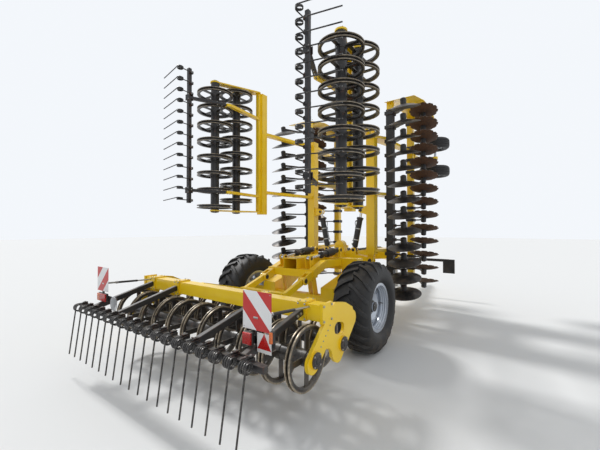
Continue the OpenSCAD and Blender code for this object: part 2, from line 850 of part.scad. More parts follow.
carrier_beam_y = -1600;
carrier_beam_z = 890;
knee = [-860, 760];
arm_h = 80;
arm_end = [carrier_beam_y + carrier_beam / 2, carrier_beam_z + 35];
module rear_carrier() {
    bracket_x = centre_half + side_gap + bracket_t / 2;
    color(yellow)
        placed()
            difference() {
                union() {
                    x_beam(-bracket_x, bracket_x, carrier_beam_y, carrier_beam_z, carrier_beam);
                    x_beam(-carrier_x - 40, carrier_x + 40, knee[0], knee[1], knee_tube);
                    for (m = [0, 1])
                        mirror([m, 0, 0]) {
                            end_bracket(bracket_x);
                            fore_aft(carrier_x, carrier_eye_w)
                                union() {
                                    translate(carrier_pivot) circle(carrier_eye_r);
                                    link(carrier_pivot, knee, arm_h);
                                    link(knee, arm_end, arm_h);
                                }
                            for (x = harrow_arm_xs)
                                translate([x - clamp_half, carrier_beam_y - carrier_beam / 2 - 15,
                                    carrier_beam_z - carrier_beam / 2 - 15])
                                    cube([2 * clamp_half, carrier_beam + 30, carrier_beam + 30]);
                        }
                }
                for (m = [0, 1])
                    mirror([m, 0, 0])
                        x_cylinder(carrier_x - carrier_eye_w, carrier_x + carrier_eye_w,
                            carrier_pivot[0], carrier_pivot[1], carrier_pin_r + running_fit);
            }
}

// One tine on its bar: a saddle, a coil above the bar's rear edge and the rod that hangs from it, tip trailing.
tine_coil_y = -61;
tine_coil_z = 78;
saddle_half = 9;
module tine() {
    rod([0, tine_coil_y + coil_d / 2 - tine_d / 2 - 1, tine_coil_z], [0, -tine_rake, -tine_drop], tine_d / 2);
    translate([-coil_w / 2, tine_coil_y, tine_coil_z])
        rotate([0, 90, 0])
            rotate_extrude($fn = 32)
                polygon([[coil_d / 2 - tine_d - 2, 0], [coil_d / 2 - 4, 0], [coil_d / 2, 4],
                    [coil_d / 2, tine_d - 3], [coil_d / 2 - 4, tine_d], [coil_d / 2, tine_d + 3],
                    [coil_d / 2, coil_w - tine_d - 3], [coil_d / 2 - 4, coil_w - tine_d],
                    [coil_d / 2, coil_w - tine_d + 3], [coil_d / 2, coil_w - 4],
                    [coil_d / 2 - 4, coil_w], [coil_d / 2 - tine_d - 2, coil_w]]);
    translate([-saddle_half, tine_coil_y + 12, harrow_bar / 2 - 2])
        cube([2 * saddle_half, harrow_bar / 2 - tine_coil_y, 22]);
}

module harrow(x0, count, x_start, x_end, y, z) {
    x_beam(x_start, x_end, y, z, harrow_bar);
    for (i = [0 : count - 1])
        translate([x0 + i * tine_pitch, y, z])
            tine();
}

// Arms of the centre harrow run between the roller rings; the outer ones carry board and lamps.
harrow_arm_xs = [for (k = [2.5, 4.5]) k * centre_ring_pitch];
harrow_arm_w = 50;
clamp_half = 45;
harrow_arm_start = [carrier_beam_y - carrier_beam / 2 - 15 - seat_fit, carrier_beam_z];
harrow_arm_end = [centre_harrow_y, centre_harrow_z];
harrow_arm_h = 64;
post_w = 40;
post_t = 12;
strap_z = [780, 840];
strap_ends = [[-1400, -900], [1105, 1418]];
spindle_r = 13;

module centre_harrow() {
    half = (centre_tines - 1) * tine_pitch / 2;
    post_foot = centre_harrow_z + harrow_bar / 2;
    color(black) placed() {
        harrow(-half, centre_tines, -half - 110, half + 110, centre_harrow_y, centre_harrow_z);
        for (m = [0, 1])
            mirror([m, 0, 0]) {
                for (x = harrow_arm_xs)
                    fore_aft(x, harrow_arm_w)
                        polygon(end_bar(harrow_arm_start, harrow_arm_end, harrow_arm_h));
                translate([board_x - post_w / 2, board_y, post_foot])
                    cube([post_w, post_t, board_z + board_w - 40 - post_foot]);
                rod([board_x - post_w / 4, board_y + post_t / 2, board_z + 90],
                    [board_x + 45, carrier_beam_y - carrier_beam / 2 - 2, carrier_beam_z + 45], spindle_r);
            }
        for (e = strap_ends)
            translate([e[0], board_y, strap_z[0]])
                cube([e[1] - e[0], post_t / 2, strap_z[1] - strap_z[0]]);
    }
}

wing_harrow_x = 1570;
wing_arm_xs = [wing_harrow_x + 130, wing_roller_end - 420];
wing_arm_w = 40;
wing_arm_bend = [wing_roller_rear_y, roller_beam_z + 60];
wing_arm_joint = let (y = wing_roller_rear_y - 55, e = [wing_harrow_y, wing_harrow_z],
    t = (y - wing_arm_bend[0]) / (e[0] - wing_arm_bend[0])) wing_arm_bend + t * (e - wing_arm_bend);
module wing_harrow(side) {
    color(black) on_wing(side) {
        harrow(wing_harrow_x, wing_tines, wing_harrow_x - 50, wing_harrow_x + (wing_tines - 1) * tine_pitch + 50,
            wing_harrow_y, wing_harrow_z);
        for (x = wing_arm_xs)
            fore_aft(x, wing_arm_w)
                polygon(end_bar(wing_arm_joint - [seat_fit, 0], [wing_harrow_y, wing_harrow_z], 56));
    }
}

module roller_carrier(side) {
    beam_y = roller_beam_y - tool_beam / 2 - 30;
    color(yellow)
        on_wing(side) {
            for (x = [wing_roller_start - side_gap - plate_t / 2, wing_roller_end + side_gap + plate_t / 2])
                bearing_plate(x, wing_roller_front_y, wing_roller_rear_y, beam_y - 25, roller_beam_z);
            x_beam(wing_roller_start - 16, wing_roller_end + 16, beam_y, roller_beam_z, 60);
            for (x = wing_arm_xs)
                fore_aft(x, wing_arm_w)
                    union() {
                        polygon(bar_outline([beam_y, roller_beam_z], wing_arm_bend, 64));
                        translate(wing_arm_bend) circle(30);
                        polygon(end_bar(wing_arm_bend, wing_arm_joint, 64));
                    }
        }
}

// Frame of one wing, drawn level for the right side.
module wing_frame(side) {
    color(yellow)
        on_wing(side)
            difference() {
                union() {
                    x_beam(hinge_x + 110, main_beam_end, main_beam_y, hinge_z - 20, main_beam);
                    x_beam(roller_beam_start, tool_beam_end, roller_beam_y, roller_beam_z, tool_beam);
                    x_beam(row_start, front_row_end, front_row_beam_y, disc_beam_z, tool_beam);
                    for (y = hinge_ys)
                        across(y, lug_eye_w)
                            union() {
                                translate([hinge_x, hinge_z]) circle(52);
                                polygon([[hinge_x, hinge_z - 50], [inner_tie_x, hinge_z - 80],
                                    [inner_tie_x, hinge_z + 40], [hinge_x, hinge_z + 50]]);
                            }
                    for (x = concat(tie_x, [inner_tie_x]))
                        wing_tie(x);
                    eye_ears();
                }
                for (y = hinge_ys)
                    y_cylinder(y - lug_eye_w, y + lug_eye_w, hinge_x, hinge_z, hinge_pin_d / 2 + running_fit);
            }
}

// Fore and aft tie between the beams; the innermost one starts at the main beam.
tie_t = 50;
module wing_tie(x) {
    rear = [roller_beam_y, roller_beam_z];
    main = [main_beam_y, hinge_z - 20];
    front = [front_row_beam_y, disc_beam_z];
    fore_aft(x, tie_t)
        union() {
            if (x > roller_beam_start)
                polygon(bar_outline(rear, main, 90));
            polygon([[main[0] - 60, main[1] + 60], [main[0] - 60, main[1] - 60],
                [rear_row_beam_y - 60, disc_beam_z + tool_beam / 2], [rear_row_beam_y + 60, disc_beam_z + tool_beam / 2],
                [front[0], disc_beam_z - 30], [front[0], front[1] + 60], [main[0] + 160, main[1] + 60]]);
        }
}

module eye_ears() {
    for (s = [-1, 1])
        across(main_beam_y + s * (fold_ear_gap + 20) / 2, 20)
            union() {
                translate(cylinder_eye) circle(44);
                polygon([[cylinder_eye[0] - 100, hinge_z], [cylinder_eye[0] + 100, hinge_z],
                    [cylinder_eye[0] + 44, cylinder_eye[1]], [cylinder_eye[0] - 44, cylinder_eye[1]]]);
            }
}

// Disc arm from its clamp on the beam to the hub behind it; x is the arm's own plane.
arm_t = 24;
hub_r = 48;
hub_half = 45;
clamp_w = 60;
clamp_t = 18;
module disc_arm(beam_y, disc_y, lean) {
    seat_z = disc_beam_z - tool_beam / 2 - clamp_t / 2;
    difference() {
        translate([-clamp_w / 2, beam_y - tool_beam / 2 - clamp_t, disc_beam_z - tool_beam / 2 - clamp_t])
            cube([clamp_w, tool_beam + 2 * clamp_t, tool_beam + 2 * clamp_t]);
        translate([-clamp_w, beam_y - tool_beam / 2, disc_beam_z - tool_beam / 2])
            cube([2 * clamp_w, tool_beam, tool_beam]);
    }
    bend = [beam_y - 95, disc_z + 135];
    fore_aft(0, arm_t)
        union() {
            polygon([[beam_y + 50, seat_z], [beam_y - 64, seat_z], [beam_y - 80, seat_z - 60],
                [beam_y + 10, seat_z - 90]]);
            link([beam_y - 22, seat_z - 30], bend, 66);
            link(bend, [disc_y, disc_z], 72);
        }
    translate([0, disc_y, disc_z])
        rotate([0, 0, lean])
            rotate([0, 90, 0])
                cylinder(h = 2 * hub_half, r = hub_r, center = true);
}

// Heading of a disc's hollow side: the front row throws outwards, the rear row inwards.
outward = disc_angle;
inward = 180 - disc_angle;
function rear_disc_x(i) = rear_disc_first_x + i * disc_pitch;
function front_disc_x(i) = disc_first_x + i * disc_pitch;

module rear_disc_arms(side) {
    color(black)
        on_wing(side) {
            x_beam(row_start, rear_row_end, rear_row_beam_y, disc_beam_z, tool_beam);
            for (i = [0 : rear_discs - 1])
                translate([rear_disc_x(i), 0, 0])
                    disc_arm(rear_row_beam_y, rear_row_y, inward);
        }
}

module front_disc_arms(side) {
    color(black)
        on_wing(side)
            for (i = [0 : front_discs - 1])
                translate([front_disc_x(i), 0, 0])
                    disc_arm(front_row_beam_y, front_row_y, outward);
}

// Dished disc on its hub face, about X; the hollow side looks along +X.
module dish() {
    rotate([0, 90, 0])
        rotate_extrude($fn = 96)
            polygon([[0, 0], [70, 0], [disc_r * 0.6, disc_dish * 0.35], [disc_r, disc_dish],
                [disc_r, disc_dish + 3], [disc_r * 0.6, disc_dish * 0.35 + disc_t], [70, disc_t], [0, disc_t]]);
}

module notched_dish() {
    intersection() {
        dish();
        rotate([0, 90, 0])
            translate([0, 0, -disc_dish * 1.5])
                linear_extrude(3 * disc_dish)
                    difference() {
                        circle(disc_r + 1, $fn = 96);
                        for (i = [0 : notch_count - 1])
                            rotate(i * 360 / notch_count)
                                translate([disc_r + 6, 0])
                                    circle(24, $fn = 32);
                    }
    }
}

module rear_discs_of(side) {
    color("silver")
        on_wing(side)
            for (i = [0 : rear_discs - 1])
                translate([rear_disc_x(i), rear_row_y, disc_z])
                    rotate([0, 0, inward])
                        translate([hub_half, 0, 0])
                            dish();
}

module front_discs_of(side) {
    color("sienna")
        on_wing(side)
            for (i = [0 : front_discs - 1])
                translate([front_disc_x(i), front_row_y, disc_z])
                    rotate([0, 0, outward])
                        translate([hub_half, 0, 0])
                            notched_dish();
}

// Outer end plate of the disc section: a bent strip round the last discs, on stubs from the beams' ends.
deflector_x = tool_beam_end + 76;
deflector_t = 8;
stub_w = 100;
deflector_plan = [[deflector_x - 126, rear_row_y + 300], [deflector_x, front_row_y - 280],
    [deflector_x, front_row_y + 290], [deflector_x - 126, front_row_beam_y + 140]];
function strip_x(y) = let (p = deflector_plan)
    deflector_t / 2 + (y < p[1][1] ? p[0][0] + (y - p[0][1]) / (p[1][1] - p[0][1]) * (p[1][0] - p[0][0])
    : y < p[2][1] ? p[1][0] : p[2][0] + (y - p[2][1]) / (p[3][1] - p[2][1]) * (p[3][0] - p[2][0]));
module end_deflector(side) {
    bottom = disc_z - 90;
    color(yellow)
        on_wing(side) {
            translate([0, 0, bottom])
                linear_extrude(disc_beam_z + tool_beam / 2 - bottom)
                    polygon(concat([for (p = deflector_plan) p],
                        [for (i = [3 : -1 : 0]) deflector_plan[i] + [deflector_t, 0]]));
            for (b = [[rear_row_beam_y, rear_row_end], [front_row_beam_y, front_row_end]])
                translate([0, 0, disc_beam_z - stub_w / 2])
                    linear_extrude(stub_w)
                        polygon([[b[1] + seat_fit, b[0] - stub_w / 2], [strip_x(b[0] - stub_w / 2), b[0] - stub_w / 2],
                            [strip_x(b[0] + stub_w / 2), b[0] + stub_w / 2], [b[1] + seat_fit, b[0] + stub_w / 2]]);
        }
}

support_z = 450;
support_x = disc_first_x + 10.5 * disc_pitch;
support_axle_r = 25;
module support_arm(side) {
    color(yellow)
        on_wing(side)
            difference() {
                union() {
                    fore_aft(support_x, 60)
                        union() {
                            polygon(bar_outline([front_row_beam_y + tool_beam / 2, disc_beam_z],
                                [support_y - 40, disc_beam_z], 90));
                            link([support_y - 48, disc_beam_z], [support_y, support_z], 88);
                            translate([support_y, support_z]) circle(55);
                        }
                    translate([support_x - 80, front_row_beam_y + tool_beam / 2, disc_beam_z - 80])
                        cube([160, 20, 160]);
                }
                x_cylinder(support_x - 60, support_x + 60, support_y, support_z, support_axle_r + running_fit);
            }
}

support_rim_r = support_d / 4;
support_lip = 20;
support_steps = 36;
module support_rims(side) {
    rim_r = support_rim_r - seat_fit;
    edge = support_w / 2 - support_lip;
    color("silver")
        on_wing(side) {
            x_cylinder(support_x - support_gap / 2, support_x + support_gap / 2, support_y, support_z,
                support_axle_r);
            for (s = [-1, 1])
                translate([support_x + s * support_gap / 2, support_y, support_z])
                    rotate([0, 90, 0])
                        rotate_extrude()
                            polygon([[0, -30], [60, -30], [rim_r - 22, 6], [rim_r - 22, -edge], [rim_r, -edge],
                                [rim_r, edge], [rim_r - 22, edge], [rim_r - 22, 30], [60, 0], [60, 40], [0, 40]]);
        }
}

module support_tyres(side) {
    half = support_w / 2;
    bead_r = support_rim_r / cos(180 / support_steps);
    color(black)
        on_wing(side)
            for (s = [-1, 1])
                translate([support_x + s * support_gap / 2, support_y, support_z])
                    faceted_ring([[bead_r, support_lip - half], [support_rim_r + 40, -half],
                        [support_d / 2 - 40, -half], [support_d / 2, 50 - half], [support_d / 2, half - 50],
                        [support_d / 2 - 40, half], [support_rim_r + 40, half], [bead_r, half - support_lip]],
                        support_steps);
}

sheet_t = 3;
module warning_boards() {
    color("white")
        placed()
            for (m = [0, 1])
                mirror([m, 0, 0])
                    translate([board_x - board_w / 2, board_y - sheet_t, board_z])
                        cube([board_w, sheet_t, board_w]);
}

// Lamps as place across, height, width and height of the lens; the last one is amber.
lamps = [[1175, 817, 90, 94], [-1205, 817, 210, 94], [1405, 863, 32, 86]];
lamp_depth = 42;
module tail_lamps() {
    color("firebrick")
        placed()
            for (l = lamps)
                translate([l[0] - l[2] / 2, board_y - lamp_depth, l[1] - l[3] / 2])
                    cube([l[2], lamp_depth, l[3]]);
}

triangle_at = [1318, 800];
round_at = [-970, 765];
module reflectors() {
    color("white")
        placed()
            translate([0, board_y, 0])
                rotate([90, 0, 0]) {
                    translate(triangle_at - [68, 70])
                        cube([136, 140, sheet_t]);
                    translate(triangle_at - [0, 12])
                        rotate(90)
                            cylinder(h = 2 * sheet_t, r = 60, $fn = 3);
                    translate(round_at)
                        cylinder(h = 2 * sheet_t, r = 80);
                }
}

chassis_frame();
drawbar();
tow_eye();
jack_sleeve();
jack_leg();
front_markers();
axle();
rim(-1);  // rim_left
rim(1);  // rim_right
tyre(-1);  // tyre_left
tyre(1);  // tyre_right
lift_barrels();
lift_rods();
rear_carrier();
centre_roller_front();
centre_roller_rear();
centre_harrow();
warning_boards();
tail_lamps();
reflectors();
wing_frame(-1);  // wing_frame_left
wing_frame(1);  // wing_frame_right
rear_disc_arms(-1);  // rear_disc_arms_left
rear_disc_arms(1);  // rear_disc_arms_right
front_disc_arms(-1);  // front_disc_arms_left
front_disc_arms(1);  // front_disc_arms_right
rear_discs_of(-1);  // rear_discs_left
rear_discs_of(1);  // rear_discs_right
front_discs_of(-1);  // front_discs_left
front_discs_of(1);  // front_discs_right
roller_carrier(-1);  // roller_carrier_left
roller_carrier(1);  // roller_carrier_right
wing_roller_front(-1);  // wing_roller_front_left
wing_roller_front(1);  // wing_roller_front_right
wing_roller_rear(-1);  // wing_roller_rear_left
wing_roller_rear(1);  // wing_roller_rear_right
wing_harrow(-1);  // wing_harrow_left
wing_harrow(1);  // wing_harrow_right
end_deflector(-1);  // end_deflector_left
end_deflector(1);  // end_deflector_right
support_arm(-1);  // support_arm_left
support_arm(1);  // support_arm_right
support_rims(-1);  // support_rims_left
support_rims(1);  // support_rims_right
support_tyres(-1);  // support_tyres_left
support_tyres(1);  // support_tyres_right
fold_barrel(-1);  // fold_barrel_left
fold_barrel(1);  // fold_barrel_right
fold_rod(-1);  // fold_rod_left
fold_rod(1);  // fold_rod_right
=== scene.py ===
# %% [markdown]
# Folded disc harrow: dressing a machine in Blender
# This lesson starts from the finished solids of a farm machine and gives them their looks.
# The solids already stand in their right places, in metres, so nothing is moved or scaled here.
# What is left to us is colour, wear, dust, tread, bolts and hoses.

# %% Load the machine's solids
import math
import random
import bpy
import bmesh
from mathutils import Matrix, Vector


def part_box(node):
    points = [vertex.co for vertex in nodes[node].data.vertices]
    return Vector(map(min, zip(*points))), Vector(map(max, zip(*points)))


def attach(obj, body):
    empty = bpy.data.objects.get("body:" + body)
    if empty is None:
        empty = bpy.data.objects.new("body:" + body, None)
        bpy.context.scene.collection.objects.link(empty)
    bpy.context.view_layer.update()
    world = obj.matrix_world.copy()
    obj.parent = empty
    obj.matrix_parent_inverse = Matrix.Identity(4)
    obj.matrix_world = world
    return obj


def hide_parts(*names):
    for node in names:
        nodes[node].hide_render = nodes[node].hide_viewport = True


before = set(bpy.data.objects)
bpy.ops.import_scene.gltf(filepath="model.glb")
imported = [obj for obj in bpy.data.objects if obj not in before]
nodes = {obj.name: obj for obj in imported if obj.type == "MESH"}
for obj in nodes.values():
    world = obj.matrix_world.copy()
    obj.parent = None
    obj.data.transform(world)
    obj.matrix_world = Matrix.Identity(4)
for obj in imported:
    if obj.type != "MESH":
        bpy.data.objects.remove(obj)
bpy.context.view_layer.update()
print("solids loaded:", len(nodes))

# %% [markdown]
# The camera comes first, because it decides what is seen close up and deserves the most work.
# A wide lens close to the machine gives the strong perspective of a hand-held picture.
# The field of view could be tuned by eye. Here it follows from the picture's own geometry:
# 315 picture elements of focal length on a frame that is 600 wide.

# %% Camera at the photographer's place
PICTURE_W = 600
FOCAL = 315
EYE = Vector((2.834, -5.539, 1.614))
HEADING = math.asin(0.5835)
PITCH_UP = math.radians(0.73)
eye_data = bpy.data.cameras.new("photographer")
eye_data.lens = FOCAL / PICTURE_W * eye_data.sensor_width
photographer = bpy.data.objects.new("photographer", eye_data)
photographer.location = EYE
photographer.rotation_euler = (math.pi / 2 + PITCH_UP, 0, HEADING)
bpy.context.scene.collection.objects.link(photographer)
bpy.context.scene.camera = photographer
bpy.context.scene.view_settings.view_transform = "Standard"
print("lens in millimetres:", round(eye_data.lens, 1))

# %% [markdown]
# A plain pale floor and even light show a colour about as it is written.
# One soft sun from the left draws the shadows, and a pale sky fills them.
# A sky can look white to the camera and still light the machine gently:
# the Light Path node tells camera, glossy and transmission rays apart from the rest.

# %% Sky and sun
SKY_FILL, SKY_FILL_COLOUR = 0.74, (0.93, 0.96, 1.0, 1)
SKY_SEEN_COLOUR = (0.90, 0.93, 0.97, 1)
SUN_POWER, SUN_WIDTH, SUN_FROM = 2.2, math.radians(9), Vector((-0.86, 0.1, 0.95))


def pale_rays(tree):
    """1 for rays that look straight, by mirror or through glass, 0 for the light that fills."""
    path = tree.nodes.new("ShaderNodeLightPath")
    total = path.outputs["Is Camera Ray"]
    for ray in ("Is Glossy Ray", "Is Transmission Ray"):
        add = tree.nodes.new("ShaderNodeMath")
        add.operation = "MAXIMUM"
        tree.links.new(total, add.inputs[0])
        tree.links.new(path.outputs[ray], add.inputs[1])
        total = add.outputs[0]
    return total


world = bpy.data.worlds.new("pale_sky")
bpy.context.scene.world = world
world.use_nodes = True
sky = world.node_tree
sky.nodes.clear()
sky_out = sky.nodes.new("ShaderNodeOutputWorld")
sky_mix = sky.nodes.new("ShaderNodeMixShader")
fill = sky.nodes.new("ShaderNodeBackground")
fill.inputs["Color"].default_value = SKY_FILL_COLOUR
fill.inputs["Strength"].default_value = SKY_FILL
seen = sky.nodes.new("ShaderNodeBackground")
seen.inputs["Color"].default_value = SKY_SEEN_COLOUR
sky.links.new(pale_rays(sky), sky_mix.inputs[0])
sky.links.new(fill.outputs[0], sky_mix.inputs[1])
sky.links.new(seen.outputs[0], sky_mix.inputs[2])
sky.links.new(sky_mix.outputs[0], sky_out.inputs[0])

sun_data = bpy.data.lights.new("soft_sun", "SUN")
sun_data.energy = SUN_POWER
sun_data.angle = SUN_WIDTH
sun = bpy.data.objects.new("soft_sun", sun_data)
sun.rotation_euler = SUN_FROM.to_track_quat("Z", "Y").to_euler()
bpy.context.scene.collection.objects.link(sun)
print("sun power", SUN_POWER, "sky fill", SKY_FILL)

# %% Pale floor
FLOOR_HALF, FLOOR_COLOUR = 60, (0.72, 0.72, 0.71, 1)


def new_material(name):
    """A material with one Principled shader on its output; gives it, its node tree and the shader."""
    material = bpy.data.materials.new(name)
    material.use_nodes = True
    tree = material.node_tree
    tree.nodes.clear()
    shader = tree.nodes.new("ShaderNodeBsdfPrincipled")
    tree.links.new(shader.outputs[0], tree.nodes.new("ShaderNodeOutputMaterial").inputs[0])
    return material, tree, shader


floor_mesh = bpy.data.meshes.new("floor")
floor_mesh.from_pydata(
    [(-FLOOR_HALF, -FLOOR_HALF, 0), (FLOOR_HALF, -FLOOR_HALF, 0),
     (FLOOR_HALF, FLOOR_HALF, 0), (-FLOOR_HALF, FLOOR_HALF, 0)], [], [(0, 1, 2, 3)])
floor = bpy.data.objects.new("floor", floor_mesh)
bpy.context.scene.collection.objects.link(floor)
pale, _, pale_shader = new_material("pale_floor")
pale_shader.inputs["Base Color"].default_value = FLOOR_COLOUR
pale_shader.inputs["Roughness"].default_value = 0.9
pale_shader.inputs["Specular IOR Level"].default_value = 0.1
floor_mesh.materials.append(pale)
print("floor, metres across:", 2 * FLOOR_HALF)

# %% [markdown]
# Wear, dust and rust turn up on nearly every piece of a machine that works in soil.
# Each effect is one node group, placed in every material that needs it with its own values.
# A group puts out masks and heights only, and the shader stays in the material.

# %% Small helpers for building node trees
def wire(tree, source, target):
    """Links a socket, or sets a plain value on it."""
    if isinstance(source, bpy.types.NodeSocket):
        tree.links.new(source, target)
    else:
        target.default_value = source


def math_node(tree, operation, a, b=None, clamp=False):
    """One step of arithmetic on one or two values."""
    node = tree.nodes.new("ShaderNodeMath")
    node.operation = operation
    node.use_clamp = clamp
    for value, socket in zip((a, b), node.inputs):
        if value is not None:
            wire(tree, value, socket)
    return node.outputs[0]


def ramp(tree, value, low, high, to_low=0.0, to_high=1.0):
    """Maps low..high of a value smoothly to to_low..to_high."""
    node = tree.nodes.new("ShaderNodeMapRange")
    node.interpolation_type = "SMOOTHSTEP"
    wire(tree, value, node.inputs["Value"])
    wire(tree, low, node.inputs["From Min"])
    wire(tree, high, node.inputs["From Max"])
    wire(tree, to_low, node.inputs["To Min"])
    wire(tree, to_high, node.inputs["To Max"])
    return node.outputs[0]


def own_place(tree):
    """Where a point lies on the machine, in metres."""
    return tree.nodes.new("ShaderNodeTexCoord").outputs["Object"]


def noise(tree, scale, detail, roughness):
    """Cloudy noise, 0 to 1. A larger scale makes smaller clouds."""
    node = tree.nodes.new("ShaderNodeTexNoise")
    tree.links.new(own_place(tree), node.inputs["Vector"])
    wire(tree, scale, node.inputs["Scale"])
    wire(tree, detail, node.inputs["Detail"])
    wire(tree, roughness, node.inputs["Roughness"])
    return node.outputs["Fac"]


def small_cells(tree, scale):
    """Distance from the middles of small cells, as in reflecting film and ribbed plastic."""
    node = tree.nodes.new("ShaderNodeTexVoronoi")
    node.inputs["Scale"].default_value = scale
    tree.links.new(own_place(tree), node.inputs["Vector"])
    return node.outputs["Distance"]


def add_bump(tree, shader, height, strength, distance):
    """Tilts the light on a surface by a height."""
    node = tree.nodes.new("ShaderNodeBump")
    node.inputs["Strength"].default_value = strength
    node.inputs["Distance"].default_value = distance
    tree.links.new(height, node.inputs["Height"])
    tree.links.new(node.outputs[0], shader.inputs["Normal"])


def blend_colour(tree, mask, below, above):
    """One colour where a mask is 0, another where it is 1."""
    node = tree.nodes.new("ShaderNodeMix")
    node.data_type = "RGBA"
    wire(tree, mask, node.inputs[0])
    wire(tree, below, node.inputs[6])
    wire(tree, above, node.inputs[7])
    return node.outputs[2]


def new_group(name, inputs, outputs):
    """A node group: inputs by name with a default value, outputs by name."""
    group = bpy.data.node_groups.new(name, "ShaderNodeTree")
    for label, value in inputs.items():
        socket = group.interface.new_socket(label, in_out="INPUT", socket_type="NodeSocketFloat")
        socket.default_value = value
    for label in outputs:
        group.interface.new_socket(label, in_out="OUTPUT", socket_type="NodeSocketFloat")
    entry = group.nodes.new("NodeGroupInput")
    leave = group.nodes.new("NodeGroupOutput")
    return group, entry.outputs, leave.inputs


def place_group(tree, group, **values):
    """Puts a group into a material's tree; an underscore in a name stands for a space."""
    node = tree.nodes.new("ShaderNodeGroup")
    node.node_tree = group
    for label, value in values.items():
        wire(tree, value, node.inputs[label.replace("_", " ")])
    return node.outputs


print("helpers ready for node trees")

# %% Edge wear group
edge_wear, inp, out = new_group("edge_wear", {"Width": 0.006, "Amount": 0.5, "Scale": 18.0}, ["Mask"])
bevel = edge_wear.nodes.new("ShaderNodeBevel")
bevel.samples = 4
edge_wear.links.new(inp["Width"], bevel.inputs["Radius"])
flat = edge_wear.nodes.new("ShaderNodeNewGeometry")
turn = edge_wear.nodes.new("ShaderNodeVectorMath")
turn.operation = "DOT_PRODUCT"
edge_wear.links.new(bevel.outputs[0], turn.inputs[0])
edge_wear.links.new(flat.outputs["Normal"], turn.inputs[1])
bend = math_node(edge_wear, "SUBTRACT", 1.0, turn.outputs["Value"])
breakup = noise(edge_wear, inp["Scale"], 5.0, 0.7)
near = math_node(edge_wear, "MULTIPLY", bend, 9.0)
rough_edge = math_node(edge_wear, "MULTIPLY", near, ramp(edge_wear, breakup, 0.40, 0.62))
scaled = math_node(edge_wear, "MULTIPLY", rough_edge, inp["Amount"], clamp=True)
edge_wear.links.new(scaled, out["Mask"])
print("nodes in the edge wear group:", len(edge_wear.nodes))

# %% Dust group
dust, inp, out = new_group(
    "dust", {"Amount": 0.5, "Height": 1.0, "Scale": 5.0}, ["Mask"])
place = dust.nodes.new("ShaderNodeTexCoord")
split_normal = dust.nodes.new("ShaderNodeSeparateXYZ")
dust.links.new(place.outputs["Normal"], split_normal.inputs[0])
split_place = dust.nodes.new("ShaderNodeSeparateXYZ")
dust.links.new(place.outputs["Object"], split_place.inputs[0])
on_top = ramp(dust, split_normal.outputs["Z"], 0.25, 0.95)
low_down = ramp(dust, split_place.outputs["Z"], 0.0, inp["Height"], 1.0, 0.0)
where = math_node(dust, "MAXIMUM", math_node(dust, "MULTIPLY", on_top, 0.75), low_down)
patchy = ramp(dust, noise(dust, inp["Scale"], 7.0, 0.68), 0.34, 0.70)
fine = ramp(dust, noise(dust, 90.0, 3.0, 0.6), 0.3, 0.75, 0.6, 1.0)
layered = math_node(dust, "MULTIPLY", math_node(dust, "MULTIPLY", where, patchy), fine)
dust.links.new(math_node(dust, "MULTIPLY", layered, inp["Amount"], clamp=True), out["Mask"])
print("nodes in the dust group:", len(dust.nodes))

# %% Rust group
rust, inp, out = new_group(
    "rust", {"Amount": 0.5, "Scale": 14.0}, ["Mask", "Shade", "Height"])
blotch = noise(rust, inp["Scale"], 8.0, 0.72)
pits = noise(rust, math_node(rust, "MULTIPLY", inp["Scale"], 9.0), 4.0, 0.7)
limit = math_node(rust, "SUBTRACT", 0.92, math_node(rust, "MULTIPLY", inp["Amount"], 0.85))
mask = ramp(rust, blotch, math_node(rust, "SUBTRACT", limit, 0.10), math_node(rust, "ADD", limit, 0.10))
rust.links.new(mask, out["Mask"])
rust.links.new(ramp(rust, pits, 0.25, 0.75), out["Shade"])
rust.links.new(math_node(rust, "MULTIPLY", math_node(rust, "MULTIPLY", pits, mask), 0.6), out["Height"])
print("nodes in the rust group:", len(rust.nodes))

# %% Paint and metal grain group
grain, inp, out = new_group("grain", {"Scale": 60.0, "Depth": 0.4}, ["Height", "Tone"])
orange_peel = noise(grain, inp["Scale"], 2.0, 0.5)
grain.links.new(math_node(grain, "MULTIPLY", orange_peel, inp["Depth"]), out["Height"])
grain.links.new(ramp(grain, noise(grain, 2.3, 5.0, 0.6), 0.3, 0.7, -0.5, 0.5), out["Tone"])
print("effect groups:", [g.name for g in bpy.data.node_groups])

# %% [markdown]
# Paint on steel is one recipe with different values: a base colour that varies a little,
# bare or rusty steel where the edges are rubbed, and pale soil dust on what faces up or lies low.
# A photograph of paint could be wrapped round the parts instead. Nodes are used because
# they stay sharp at any distance and follow each part's own edges.

# %% Painted steel
def colour(red, green, blue):
    """A colour as a screen shows it, 0 to 255, turned into the linear values that nodes take."""
    linear = [(v / 255 / 12.92) if v <= 10 else ((v / 255 + 0.055) / 1.055) ** 2.4
              for v in (red, green, blue)]
    return (*linear, 1.0)


DUST_COLOUR = colour(168, 156, 138)
RUST_DARK = colour(78, 44, 30)
RUST_LIGHT = colour(150, 86, 50)


